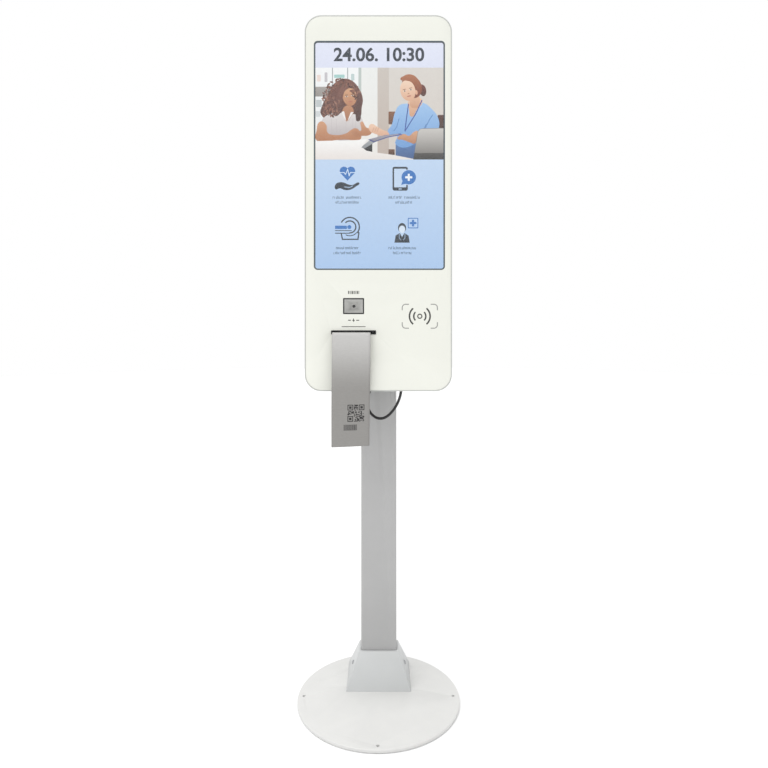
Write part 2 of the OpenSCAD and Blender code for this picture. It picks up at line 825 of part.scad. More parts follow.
module lock_plug() {
    color("silver") difference() {
        union() {
            rod_x(tray_side - 23, tray_side + 2.8, lock_y, lock_z, plug_r);
            rod_x(cam_x - 3, tray_side - 22.9, lock_y, lock_z, tail_r);
            rod_x(cam_x - 3, cam_x, lock_y, lock_z, tail_r + 2);
        }
        block([tray_side - 6, lock_y - 0.8, lock_z - 4], [tray_side + 4, lock_y + 0.8, lock_z + 4]);
    }
}

// At rest the cam hangs down; a quarter turn brings its hook in front of the catch
module lock_cam() {
    reach = catch_reach + catch_r + 1.5;
    hook = 4;
    color("darkgray") bar(cam_x, cam_x + cam_t) translate([lock_y, lock_z]) rotate(90)
        difference() {
            union() {
                circle(8);
                rotate(180 + 25) translate([0, -4]) square([reach + hook - 1, 8]);
                intersection() {
                    difference() {
                        circle(reach + hook);
                        circle(reach);
                    }
                    polygon([[0, 0], polar(60, 180 + 40), polar(60, 180 + 15),
                             polar(60, 180 - 14)]);
                }
            }
            circle(tail_r + slip);
        }
}

// Door

module door_frame() {
    color("gainsboro") difference() {
        translate([0, 0, head_mid]) {
            slab(front_y, door_back) ring(head_w, head_h, corner_r, rim_w);
            slab(glass_back + tape_t, glass_back + tape_t + sheet_t)
                ring(head_w - rim_w, head_h - rim_w, corner_r - rim_w / 2, ledge_w + rim_w / 2);
            slab(door_back - sheet_t, door_back)
                difference() {
                    round_rect(head_w - rim_w, head_h - rim_w, corner_r - rim_w / 2);
                    round_rect(flange_in_w, flange_in_h, 6);
                }
        }
        display_screw_places() rod_y(0, door_back - 3, door_back + 1, 0, m3 + slip);
        plate_screw_places() rod_y(0, door_back - 3, door_back + 1, 0, m3 + slip);
    }
}

module front_glass() {
    color("white") difference() {
        translate([0, 0, head_mid]) slab(front_y, glass_back)
            round_rect(head_w - 2 * rim_w - 2 * gap, head_h - 2 * rim_w - 2 * gap,
                       corner_r - rim_w - gap);
        slab(front_y - 1, glass_back + 1) {
            translate([-module_x, scan_z]) round_rect(scan_w, scan_h, 1.5);
            translate([-module_x, slot_z]) round_rect(slot_w, slot_h, 1.5);
        }
    }
}

module glass_tape() {
    color("black") translate([0, 0, head_mid]) slab(glass_back, glass_back + tape_t)
        ring(head_w - 2 * rim_w - 2 * gap, head_h - 2 * rim_w - 2 * gap,
             corner_r - rim_w - gap, ledge_w - 2 * gap);
}

module display_gasket() {
    color("black") translate([0, 0, lcd_z]) slab(glass_back, lcd_front) difference() {
        square([lcd_w - 4, lcd_h - 4], center = true);
        square([view_w + 8, view_h + 6], center = true);
    }
}

module display_panel() {
    color("dimgray") difference() {
        translate([0, 0, lcd_z]) slab(lcd_front, lcd_back) square([lcd_w, lcd_h], center = true);
        translate([0, 0, lcd_z]) slab(lcd_front - 1, lcd_front + 0.8)
            square([view_w + 2, view_h + 2], center = true);
        display_screw_places() rod_y(0, lcd_back - 5, lcd_back + 1, 0, m3 + slip);
    }
}

module display_screw_places() {
    for (x = [-1, 1], z = [-1, 0, 1])
        translate([x * mscrew_x, 0, lcd_z + z * (lcd_h / 2 - 20)]) children();
}

module display_board() {
    low = lcd_z - 150;
    color("darkgreen") {
        block([-75, lcd_back + 3, low], [75, lcd_back + 4.6, low + 70]);
        for (x = [-1, 1], z = [6, 64])
            rod_y(x * 69, lcd_back, lcd_back + 3 + eps, low + z, 2.5);
    }
    color("black") {
        block([-20, lcd_back + 4.6, low + 22], [4, lcd_back + 7, low + 46]);
        block([34, lcd_back + 4.6, low + 4], [64, lcd_back + 9, low + 14]);
        block([-66, lcd_back + 4.6, low + 50], [-30, lcd_back + 9, low + 60]);
    }
}

module plate_screw_places() {
    for (x = [-1, 1], z = [mplate_z0 + 12, (mplate_z0 + mplate_z1) / 2, mplate_z1 - 12])
        translate([x * mscrew_x, 0, z]) children();
}

module module_plate() {
    color("silver") difference() {
        translate([0, 0, (mplate_z0 + mplate_z1) / 2]) slab(door_back, mplate_back)
            round_rect(mplate_w, mplate_z1 - mplate_z0, tray_r - sheet_t - seal_w + 1.5);
        plate_screw_places() rod_y(0, door_back - 1, mplate_back + 1, 0, m3 + slip);
        slab(door_back - 1, mplate_back + 1) {
            translate([-module_x, scan_z]) square([engine_w + 2, engine_h + 2], center = true);
            translate([-module_x, slot_z]) square([slot_w - 3, slot_h + 2], center = true);
            translate([reader_x, head_z + reader_up])
                square([reader_w + 10, 58], center = true);
        }
    }
}

// The same screw holds the display and the module plate to the door
module door_screws() {
    color("darkgray") {
        display_screw_places() screw_y(0, door_back, 0, m3, 5);
        plate_screw_places() screw_y(0, mplate_back, 0, m3, 5);
    }
}

module scanner_funnel() {
    mouth_w = scan_w - 2 * scan_border;
    mouth_h = scan_h - 2 * scan_border;
    color("darkgray") difference() {
        translate([-module_x, 0, scan_z]) {
            slab(front_y, door_back) round_rect(scan_w - 2 * gap, scan_h - 2 * gap, 1.2);
            slab(door_back - sheet_t, door_back) round_rect(scan_w + 14, scan_h + 10, 2);
        }
        translate([-module_x, front_y - eps, scan_z]) rotate([-90, 0, 0])
            frustum(mouth_w, mouth_h, 14, 12, scan_deep);
        rod_y(-module_x, front_y, door_back + 1, scan_z, lens_r + slip);
    }
}

module scanner_lens() {
    color("black") rod_y(-module_x, front_y + scan_deep - 1, door_back, scan_z, lens_r);
}

module scanner_module() {
    color("black") {
        translate([-module_x, 0, scan_z]) slab(door_back, door_back + engine_d)
            round_rect(engine_w, engine_h, 2);
        block([-module_x - 6, door_back + engine_d, scan_z - 4],
              [-module_x + 6, door_back + engine_d + 3, scan_z + 4]);
    }
}

module scanner_bracket() {
    shelf = scan_z - engine_h / 2;
    color("silver") difference() {
        union() {
            block([-module_x - 13, mplate_back, shelf - 6],
                  [-module_x + 13, mplate_back + sheet_t, shelf]);
            block([-module_x - 13, mplate_back, shelf - sheet_t],
                  [-module_x + 13, door_back + engine_d, shelf]);
        }
        rod_y(-module_x, mplate_back - 1, mplate_back + 3, shelf - 3.6, 1.2);
    }
}

module slot_bezel() {
    color("black") difference() {
        translate([-module_x, 0, slot_z]) {
            slab(front_y - 1, door_back) round_rect(slot_w - 2 * gap, slot_h - 2 * gap, 1.2);
            slab(door_back - sheet_t, door_back) round_rect(slot_w + 8, slot_h + 10, 2);
        }
        translate([-module_x, front_y - 1 - eps, slot_z]) rotate([-90, 0, 0])
            frustum(slot_w - 3, 5.4, slot_w - 5, 3, 4);
        translate([-module_x, 0, slot_z]) slab(front_y - 2, door_back + 1)
            square([slot_w - 5, 3], center = true);
    }
}

module reader_board() {
    low = head_z + reader_up - 25;
    color("darkgreen") block([reader_x - reader_w / 2, glass_back, low],
                             [reader_x + reader_w / 2, glass_back + 1.6, low + 50]);
    color("black") {
        block([reader_x - 6, glass_back + 1.6, low + 19],
              [reader_x + 6, glass_back + 3.2, low + 31]);
        block([reader_x + 16, glass_back + 1.6, low + 4],
              [reader_x + 30, glass_back + 7, low + 11]);
    }
}

module door_catch() {
    pin_y = lock_y - catch_reach;
    ear_x = cam_x + cam_t + 3;
    color("silver") {
        block([cam_x - 2, mplate_back, lock_z - 9], [ear_x + 2, mplate_back + 1.5, lock_z + 9]);
        block([ear_x, mplate_back, lock_z - 9], [ear_x + 2, pin_y + 4, lock_z + 9]);
        rod_x(cam_x - 2, ear_x + 0.5, pin_y, lock_z, catch_r);
    }
}

// Printer

module printer_frame() {
    inner0 = paper_x - side_in;
    inner1 = paper_x + side_in;
    bar_z = motor_z + motor_a / 2 - 10;
    color("lightgray") difference() {
        union() {
            for (x = [inner0 - side_t, inner1])
                block([x, side_y0, side_z0], [x + side_t, side_y1, side_z1]);
            block([inner0 - 1, side_y0, side_z0], [inner1 + 1, side_y0 + side_t, bar_z]);
            rod_x(inner0 - 1, inner1 + 1, guide_y, guide_z, guide_r);
            rod_x(gear_x - gear_t - 1, inner0 - 1, idler_y, idler_z, 2.5);
        }
        rod_x(inner0 - 9, inner1 + 9, platen_y, platen_z, shaft_r + run);
        rod_x(inner0 - 9, inner1 + 9, roll_y, roll_z, spindle_r + run);
        rod_x(inner0 - 9, inner0 + 1, motor_y, motor_z, 8);
        rod_x(inner1 - 1, inner1 + 9, lever_y, lever_z, 2.5 + run);
        rod_x(inner0 - 9, inner1 + 9, roll_y - 4, side_z0, 6);
        for (x = [-1, 1]) rod_y(paper_x + x * 30, side_y0 - 1, side_y0 + side_t + 1,
                                bar_z - 6, m3 + slip);
    }
}

module thermal_head() {
    half = side_in - gap;
    low = slot_z + paper_t / 2 + nip;
    color("dimgray") block([paper_x - paper_w / 2, platen_y - 6, low],
                           [paper_x + paper_w / 2, platen_y + 6, low + 2]);
    color("darkgray") {
        block([paper_x - half, platen_y - 7, low + 2], [paper_x + half, platen_y + 7, low + 7]);
        for (i = [0 : 5]) block([paper_x - half, platen_y - 7 + 2.5 * i, low + 7 - eps],
                                [paper_x + half, platen_y - 5.5 + 2.5 * i, low + 12]);
    }
}

module cutter_housing() {
    half = side_in - gap;
    low = slot_z + 1.5;
    color("dimgray") difference() {
        block([paper_x - half, mplate_back + gap, low],
              [paper_x + half, mplate_back + 6.3, low + cut_h - 1.5]);
        block([paper_x - half + 1, blade_y - 0.3, low - 1],
              [paper_x + half - 1, blade_y + blade_t + 0.3, low + 15]);
    }
    color("silver") block([paper_x - half, mplate_back + gap, slot_z - 6],
                          [paper_x + half, blade_y - 0.6, slot_z - 0.4]);
    color("darkgray") rod_x(paper_x - half, paper_x - half + 24, mplate_back + 8.6,
                            slot_z + cut_h + 8, 8);
}

module cutter_blade() {
    half = paper_w / 2 + 1;
    color("silver") slab(blade_y, blade_y + blade_t)
        polygon([[paper_x - half, slot_z + blade_up], [paper_x, slot_z + blade_up + 1.2],
                 [paper_x + half, slot_z + blade_up], [paper_x + half, slot_z + blade_up + 12],
                 [paper_x - half, slot_z + blade_up + 12]]);
}

module feed_motor() {
    x0 = paper_x - side_in;
    color("black") difference() {
        block([x0, motor_y - motor_a / 2, motor_z - motor_a / 2],
              [x0 + motor_l, motor_y + motor_a / 2, motor_z + motor_a / 2]);
        rod_x(x0 - 1, x0 + motor_l - 6, motor_y, motor_z, 2.5 + run);
    }
}

module motor_pinion() {
    color("silver") {
        rod_x(gear_x - gear_t - 2, paper_x - side_in + motor_l - 8, motor_y, motor_z, 2.5);
        gear(gear_x - gear_t, gear_x, motor_y, motor_z, pinion_t, pinion_turn, 2.4);
    }
}

module idler_gear() {
    color("ivory") gear(gear_x - gear_t, gear_x, idler_y, idler_z, idler_t, idler_turn, 2.5 + run);
}

module platen_roller() {
    color("dimgray") rod_x(paper_x - paper_w / 2 - 0.5, paper_x + paper_w / 2 + 0.5,
                           platen_y, platen_z, platen_r);
    color("silver") rod_x(gear_x - gear_t - 2, paper_x + side_in + side_t + 2,
                          platen_y, platen_z, shaft_r);
    color("ivory") gear(gear_x - gear_t, gear_x, platen_y, platen_z, platen_t, 0, shaft_r - 0.1);
}

module head_lever() {
    x0 = paper_x + side_in + side_t + 0.5;
    color("seagreen") {
        rod_x(x0 - side_t - 4, x0 + eps, lever_y, lever_z, 2.5);
        rod_x(x0, x0 + 3, lever_y, lever_z, 5);
        block([x0, lever_y - 3, lever_z], [x0 + 3, lever_y + 3, lever_z + lever_l]);
        rod_x(x0, x0 + 8, lever_y, lever_z + lever_l, 4);
    }
}

// The roll turns with its cardboard core and its spindle
module paper_roll() {
    color("white") difference() {
        rod_x(paper_x - paper_w / 2, paper_x + paper_w / 2, roll_y, roll_z, roll_r);
        rod_x(paper_x - 60, paper_x + 60, roll_y, roll_z, core_r);
    }
    color("tan") difference() {
        rod_x(paper_x - paper_w / 2, paper_x + paper_w / 2, roll_y, roll_z, core_r);
        rod_x(paper_x - 60, paper_x + 60, roll_y, roll_z, core_r - 1.5);
    }
    color("dimgray") {
        rod_x(paper_x - side_in - side_t - 0.5, paper_x + side_in + side_t + 0.5,
              roll_y, roll_z, spindle_r);
        for (x = [-1, 1]) rod_x(paper_x + x * (paper_w / 2 - 8) - 8,
                                paper_x + x * (paper_w / 2 - 8) + 8,
                                roll_y, roll_z, core_r - 1.5);
    }
}

// The paper from the roll, round the guide and as far as the blade
module paper_web() {
    near = nip;
    far = nip + paper_t;
    wall_y = roll_y + roll_r;
    color("gainsboro") bar(paper_x - paper_w / 2, paper_x + paper_w / 2) {
        translate([wall_y + near, roll_z]) square([paper_t, guide_z - roll_z + eps]);
        translate([guide_y, guide_z]) intersection() {
            difference() {
                circle(guide_r + far);
                circle(guide_r + near);
            }
            square(30);
        }
        translate([blade_y + blade_t + 0.6, slot_z - paper_t / 2])
            square([guide_y - blade_y - blade_t - 0.6 + eps, paper_t]);
    }
}

module receipt() {
    back = blade_y - 0.9;
    out = front_y - 1 - slip_out;
    half = paper_t / 2;
    drop_y = out - slip_bend;
    low_y = drop_y - slip_lean;
    low_z = slot_z - slip_bend - slip_drop;
    color("gainsboro") bar(paper_x - paper_w / 2, paper_x + paper_w / 2) {
        translate([out, slot_z - half]) square([back - out, paper_t]);
        translate([out, slot_z - slip_bend]) intersection() {
            difference() {
                circle(slip_bend + half);
                circle(slip_bend - half);
            }
            translate([-30, 0]) square(30);
        }
        polygon([[drop_y - half, slot_z - slip_bend], [drop_y + half, slot_z - slip_bend],
                 [low_y + half, low_z], [low_y - half, low_z]]);
    }
}

floor_mat();
base_plate();
foot_flange();
flange_bolts();
post();
post_cap();
foot_cover();
cover_clips();
cover_screws();
mains_inlet();
post_lead();
cable_grommet();
cable_loop();
cable_gland();
mount_bracket();
bracket_bolts();
head_screws();
rear_housing();
door_seal();
hinge_leaves_fixed();
mainboard();
heat_sink();
power_supply();
speakers();
network_socket();
switch_bezel();
switch_rocker();
lock_barrel();
lock_nut();
lock_plug();
lock_cam();
door_frame();
front_glass();
glass_tape();
display_gasket();
display_panel();
display_board();
module_plate();
door_screws();
scanner_funnel();
scanner_lens();
scanner_module();
scanner_bracket();
slot_bezel();
reader_board();
hinge_leaves_door();
hinge_pins();
door_catch();
printer_frame();
thermal_head();
cutter_housing();
cutter_blade();
feed_motor();
motor_pinion();
idler_gear();
platen_roller();
head_lever();
paper_roll();
paper_web();
receipt();
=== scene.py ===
"""Finishes, screen picture, printing, paper and cable of a touchscreen kiosk, around its CAD frame."""

import json
import math
import random

import bmesh
import bpy
from bpy.props import FloatProperty, FloatVectorProperty, IntProperty, PointerProperty
from mathutils import Matrix, Vector


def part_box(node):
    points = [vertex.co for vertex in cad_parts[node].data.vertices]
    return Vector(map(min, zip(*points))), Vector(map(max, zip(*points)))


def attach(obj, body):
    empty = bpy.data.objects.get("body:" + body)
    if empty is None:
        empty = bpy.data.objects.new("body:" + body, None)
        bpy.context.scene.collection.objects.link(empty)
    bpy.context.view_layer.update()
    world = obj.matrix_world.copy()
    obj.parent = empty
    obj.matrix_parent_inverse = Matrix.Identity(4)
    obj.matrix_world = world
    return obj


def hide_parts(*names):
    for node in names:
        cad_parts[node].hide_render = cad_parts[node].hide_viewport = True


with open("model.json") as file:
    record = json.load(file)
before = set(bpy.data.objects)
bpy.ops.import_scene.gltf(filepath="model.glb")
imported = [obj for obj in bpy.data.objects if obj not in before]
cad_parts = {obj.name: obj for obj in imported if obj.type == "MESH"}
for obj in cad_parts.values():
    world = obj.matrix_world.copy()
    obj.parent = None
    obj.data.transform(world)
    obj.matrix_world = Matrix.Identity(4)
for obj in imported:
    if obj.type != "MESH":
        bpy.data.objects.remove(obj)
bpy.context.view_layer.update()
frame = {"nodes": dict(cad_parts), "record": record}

bl_info = {
    "name": "Touchscreen Kiosk Looks",
    "version": (1, 0, 0),
    "blender": (4, 5, 0),
    "location": "View3D > Sidebar > Kiosk",
    "description": "Gives the kiosk's CAD frame its finishes, screen, printing, paper and cable",
    "category": "Object",
}

NODES = frame["nodes"]
MM = 0.001

# Small clearances, so that thin layers neither touch nor flicker
PRINT_LIFT = 0.04 * MM
TONER_LIFT = 0.03 * MM
SKIN = 0.05 * MM

# Sizes of the CAD nodes that the finishes follow
GLASS_CORNER = 33 * MM
BOARD_THICKNESS = 1.6 * MM
GEAR_END = 7.2 * MM
SHAFT_RADIUS = 3.1 * MM
CORE_RADIUS, CORE_BORE = 10.05 * MM, 8.6 * MM

# Height and place across of the middle of the code on the receipt
CODE_HEIGHT = 0.633
CODE_ACROSS = -0.045

# Faces and centres of the CAD nodes that the new pieces line up with
GLASS_LOW, GLASS_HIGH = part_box("front_glass")
GLASS_FRONT, GLASS_BACK = GLASS_LOW.y, GLASS_HIGH.y
GLASS_CENTRE = (GLASS_LOW + GLASS_HIGH) / 2
PANEL_LOW, PANEL_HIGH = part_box("display_panel")
PANEL_CENTRE = (PANEL_LOW + PANEL_HIGH) / 2
FUNNEL_LOW, FUNNEL_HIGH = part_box("scanner_funnel")
SCANNER_CENTRE = (FUNNEL_LOW + FUNNEL_HIGH) / 2
SLOT_CENTRE = sum(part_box("slot_bezel"), Vector()) / 2
READER_LOW, READER_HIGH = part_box("reader_board")
READER_CENTRE = (READER_LOW + READER_HIGH) / 2
RECEIPT_LOW, RECEIPT_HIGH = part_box("receipt")
ROLL_CENTRE = sum(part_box("paper_roll"), Vector()) / 2
PLATEN_LOW, PLATEN_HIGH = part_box("platen_roller")
PLATEN_CENTRE = (PLATEN_LOW + PLATEN_HIGH) / 2

# The cable's route from its gland to the post, the same points as in the CAD source
CABLE_WAY = [
    (0.049, 0, 0.695), (0.049, 0, 0.684), (0.049, 0, 0.671), (0.046, 0.001, 0.656),
    (0.0395, 0.002, 0.640), (0.030, 0.004, 0.6255), (0.019, 0.007, 0.6145),
    (0.007, 0.010, 0.609), (-0.006, 0.014, 0.6105), (-0.017, 0.018, 0.619),
    (-0.0235, 0.022, 0.631), (-0.025, 0.025, 0.644), (-0.023, 0.028, 0.657),
    (-0.0185, 0.030, 0.669), (-0.0135, 0.032, 0.681), (-0.010, 0.034, 0.692),
    (-0.008, 0.0385, 0.7025), (-0.008, 0.0465, 0.7095), (-0.008, 0.056, 0.712),
    (-0.008, 0.0618, 0.712),
]


def srgb(code):
    """A colour written as a hexadecimal screen colour, as linear red, green and blue."""
    channels = [(code >> shift & 255) / 255 for shift in (16, 8, 0)]
    return tuple(c / 12.92 if c <= 0.04045 else ((c + 0.055) / 1.055) ** 2.4 for c in channels)


def colour_property(name, description, code):
    return FloatVectorProperty(
        name=name, description=description, subtype="COLOR", size=3, min=0, max=1,
        default=srgb(code),
    )


def length_property(name, description, millimetres):
    return FloatProperty(
        name=name, description=description, unit="LENGTH", subtype="DISTANCE", min=0,
        default=millimetres * MM,
    )


class KioskSizes(bpy.types.PropertyGroup):
    """Sizes of the window, the printing and the paper."""

    window_width: length_property("Window width", "Width inside the white print", 274.2)
    window_height: length_property("Window height", "Height inside the white print", 479.0)
    window_radius: length_property("Window radius", "Corner radius of the window", 8.0)
    window_offset: FloatProperty(
        name="Window offset", description="Window's place right of the middle",
        unit="LENGTH", subtype="DISTANCE", default=2.2 * MM,
    )
    window_border: length_property("Window border", "Width of the dark line round it", 3.0)
    edge: length_property("Glass edge", "Ground edge of the glass", 0.5)
    card_width: length_property("Card width", "Width of the printed card outline", 73.5)
    card_height: length_property("Card height", "Height of the printed card outline", 50.0)
    cable_diameter: length_property("Cable", "Outer diameter of the cable", 6.0)
    code_side: length_property("Code", "Side of the square code on the receipt", 35.0)
    paper_thickness: length_property("Paper", "Thickness of the receipt", 0.12)
    receipt_twist: FloatProperty(
        name="Receipt twist", description="Turn of the receipt's lower end",
        subtype="ANGLE", default=math.radians(13),
    )
    code_cells: IntProperty(
        name="Code cells", description="Cells along one side of the code", default=21, min=11,
    )
    code_seed: IntProperty(name="Code pattern", description="Chooses the cells", default=7)


class KioskColours(bpy.types.PropertyGroup):
    """Colours of the paint, the print and the screen."""

    stand: colour_property("Stand", "Powder coat of the post", 0xB5B5B5)
    disc: colour_property("Base", "Powder coat of the base plate", 0xD8D8D6)
    cover: colour_property("Foot cover", "Powder coat of the foot cover", 0xC6C8C8)
    housing: colour_property("Housing", "Powder coat of the rear housing", 0xE3E4E0)
    rim: colour_property("Rim", "Powder coat of the door frame", 0xC9CBC7)
    white_print: colour_property("Glass print", "White behind the glass", 0xEBECE3)
    border: colour_property("Border", "Line round the window", 0x4A555B)
    ink: colour_property("Ink", "Card and slot signs", 0x3C3D39)
    pale_ink: colour_property("Pale ink", "Card outline", 0x8F8F8C)
    # The two receipt colours are painted light and shade: lit at the slot, shaded at the lower end
    paper_lit_top: colour_property("Paper, top", "Receipt at the slot", 0xC4C3C1)
    paper_shaded_low: colour_property("Paper, low", "Receipt at its lower end", 0x93918E)


class KioskStage(bpy.types.PropertyGroup):
    """Camera and light."""

    lens: FloatProperty(name="Lens", description="Focal length in mm", default=30.0, min=5)
    eye: FloatVectorProperty(
        name="Eye", description="Place of the camera", subtype="TRANSLATION", unit="LENGTH",
        default=(0.0118, -1.392, 0.8318),
    )
    rise: FloatProperty(name="Shift", description="Vertical shift of the lens", default=-0.0876)
    overhead: FloatProperty(name="Overhead", description="Light from above", default=1.35, min=0)
    side: FloatProperty(name="Side", description="Light from the front left", default=4.0, min=0)
    surround: FloatProperty(name="Surround", description="Light all round", default=0.83, min=0)


# ---------------------------------------------------------------- mesh helpers


def upright(x, y, z):
    """Places a drawing made in X and Y so that its Y points up, facing -Y."""
    return Matrix.Translation((x, y, z)) @ Matrix.Rotation(math.pi / 2, 4, "X")


def finish_piece(name, bm, materials, body, smooth=None):
    """Makes the object, with its materials and shading, and sets it on its body."""
    mesh = bpy.data.meshes.new(name)
    bm.to_mesh(mesh)
    bm.free()
    obj = bpy.data.objects.new(name, mesh)
    bpy.context.scene.collection.objects.link(obj)
    for material in materials:
        mesh.materials.append(material)
    if smooth is not None:
        mesh.shade_smooth()
        mesh.set_sharp_from_angle(angle=math.radians(smooth))
    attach(obj, body)
    return obj


def rounded_face(bm, x, z, width, height, radius, y=0.0, tilt=0.0, segments=6):
    """A flat face facing -Y with rounded corners. Returns its vertices."""
    place = upright(x, y, z) @ Matrix.Rotation(tilt, 4, "Z")
    scale = Matrix.Diagonal((width, height, 1, 1))
    made = bmesh.ops.create_grid(
        bm, x_segments=1, y_segments=1, size=0.5, matrix=place @ scale
    )["verts"]
    radius = min(radius, width / 2 - 1e-6, height / 2 - 1e-6)
    if radius > 0:
        made = bmesh.ops.bevel(
            bm, geom=made, offset=radius, segments=segments, affect="VERTICES",
            profile=0.5, material=-1, clamp_overlap=False,
        )["verts"]
    return list(made)


def oval(bm, x, z, rx, rz, y=0.0, tilt=0.0, segments=28):
    """A flat oval facing -Y."""
    place = upright(x, y, z) @ Matrix.Rotation(tilt, 4, "Z") @ Matrix.Diagonal((rx, rz, 1, 1))
    return bmesh.ops.create_circle(
        bm, cap_ends=True, segments=segments, radius=1, matrix=place
    )["verts"]


def arc_band(bm, x, z, radius, stroke, start, end, y=0.0, steps=14):
    """A flat band along an arc, from angle start to end in degrees."""
    inner = bm.verts.new((x + (radius - stroke / 2), y, z))
    outer = bm.verts.new((x + (radius + stroke / 2), y, z))
    edge = bm.edges.new((inner, outer))
    centre = (x, y, z)
    bmesh.ops.rotate(
        bm, verts=[inner, outer], cent=centre,
        matrix=Matrix.Rotation(math.radians(-start), 3, "Y"),
    )
    full = abs(end - start) >= 360
    bmesh.ops.spin(
        bm, geom=[inner, outer, edge], cent=centre, axis=(0, 1, 0),
        angle=math.radians(-(end - start)), steps=steps * (2 if full else 1), use_merge=full,
    )
    linked = {inner, outer}
    grown = True
    while grown:
        more = {e.other_vert(v) for v in linked for e in v.link_edges} - linked
        grown = bool(more)
        linked |= more
    return list(linked)


def outline(bm, points, y=0.0, smooth=True):
    """A flat face facing -Y, filled inside a closed line through the points."""
    curve = bpy.data.curves.new("outline", "CURVE")
    curve.dimensions = "2D"
    curve.fill_mode = "BOTH"
    curve.resolution_u = 5
    spline = curve.splines.new("BEZIER")
    spline.bezier_points.add(len(points) - 1)
    spline.use_cyclic_u = True
    for point, (px, pz) in zip(spline.bezier_points, points):
        point.co = (px, pz, 0)
        point.handle_left_type = point.handle_right_type = "AUTO" if smooth else "VECTOR"
    return flat_curve(bm, curve, upright(0, y, 0))


def flat_curve(bm, curve, place):
    """Adds a filled flat curve or text to the mesh. Returns the new vertices."""
    holder = bpy.data.objects.new("flat", curve)
    bpy.context.scene.collection.objects.link(holder)
    bpy.context.view_layer.update()
    depsgraph = bpy.context.evaluated_depsgraph_get()
    mesh = bpy.data.meshes.new_from_object(holder.evaluated_get(depsgraph))
    bpy.data.objects.remove(holder)
    mesh.transform(place)
    known = set(bm.verts)
    bm.from_mesh(mesh)
    bpy.data.meshes.remove(mesh)
    return [vert for vert in bm.verts if vert not in known]


def face_forward(bm):
    """Turns every flat face towards -Y."""
    for face in bm.faces:
        if face.normal.y > 0:
            face.normal_flip()


def copy_of(node, bevel, smooth=35, segments=2):
    """A clean copy of a CAD node's mesh, with its sharp edges rounded."""
    bm = bmesh.new()
    bm.from_mesh(NODES[node].data)
    bmesh.ops.remove_doubles(bm, verts=bm.verts, dist=1e-6)
    bmesh.ops.dissolve_limit(
        bm, angle_limit=math.radians(0.5), use_dissolve_boundaries=False,
        verts=bm.verts, edges=bm.edges, delimit=set(),
    )
    if bevel:
        limit = math.radians(smooth)
        sharp = [e for e in bm.edges if e.is_manifold and e.calc_face_angle(0) > limit]
        bmesh.ops.bevel(
            bm, geom=sharp, offset=bevel, segments=segments, affect="EDGES", profile=0.5,
            material=-1, clamp_overlap=True, harden_normals=False,
        )
    return bm


def pick_materials(bm, choose):
    """Gives each face the material slot that choose returns for its centre."""
    for face in bm.faces:
        face.material_index = choose(face.calc_center_median())


# ---------------------------------------------------------------- shader helpers


def add(tree, kind, inputs=None, **settings):
    """A new node with its settings, and its inputs set or linked."""
    node = tree.nodes.new(kind)
    for key, value in settings.items():
        setattr(node, key, value)
    for key, value in (inputs or {}).items():
        if isinstance(value, bpy.types.NodeSocket):
            tree.links.new(value, node.inputs[key])
        else:
            node.inputs[key].default_value = value
    return node


def new_group(name, inputs, outputs):
    """An empty shader group with the sockets that the two dictionaries name."""
    group = bpy.data.node_groups.new(name, "ShaderNodeTree")
    for label, (kind, default) in inputs.items():
        socket = group.interface.new_socket(label, in_out="INPUT", socket_type=kind)
        socket.default_value = default
    for label, kind in outputs.items():
        group.interface.new_socket(label, in_out="OUTPUT", socket_type=kind)
    return group, group.nodes.new("NodeGroupInput"), group.nodes.new("NodeGroupOutput")


FLOAT, COLOUR, VECTOR = "NodeSocketFloat", "NodeSocketColor", "NodeSocketVector"


def build_mottle():
    """Soft variation of a value between a low and a high limit."""
    group, given, out = new_group(
        "Mottle",
        {"Scale": (FLOAT, 20.0), "Stretch": (VECTOR, (1, 1, 1)), "Low": (FLOAT, 0.0),
         "High": (FLOAT, 1.0)},
        {"Value": FLOAT},
    )
    place = add(group, "ShaderNodeTexCoord").outputs["Object"]
    mapped = add(group, "ShaderNodeMapping", {"Vector": place, "Scale": given.outputs["Stretch"]})
    noise = add(
        group, "ShaderNodeTexNoise",
        {"Vector": mapped.outputs["Vector"], "Scale": given.outputs["Scale"], "Detail": 4.0,
         "Roughness": 0.6},
    )
    spread = add(
        group, "ShaderNodeMapRange",
        {"Value": noise.outputs["Fac"], "From Min": 0.3, "From Max": 0.7,
         "To Min": given.outputs["Low"], "To Max": given.outputs["High"]},
    )
    group.links.new(spread.outputs["Result"], out.inputs["Value"])
    return group


def build_peel():
    """Height of a sprayed or moulded skin: close pimples on longer waves."""
    group, given, out = new_group("Peel", {"Scale": (FLOAT, 700.0)}, {"Height": FLOAT})
    place = add(group, "ShaderNodeTexCoord").outputs["Object"]
    fine = add(
        group, "ShaderNodeTexNoise",
        {"Vector": place, "Scale": given.outputs["Scale"], "Detail": 2.0, "Roughness": 0.5},
    )
    quarter = add(
        group, "ShaderNodeMath", {0: given.outputs["Scale"], 1: 0.25}, operation="MULTIPLY"
    )
    wave = add(
        group, "ShaderNodeTexNoise",
        {"Vector": place, "Scale": quarter.outputs[0], "Detail": 1.0, "Roughness": 0.5},
    )
    total = add(
        group, "ShaderNodeMath", {0: wave.outputs["Fac"], 1: 0.6, 2: fine.outputs["Fac"]},
        operation="MULTIPLY_ADD",
    )
    group.links.new(total.outputs[0], out.inputs["Height"])
    return group


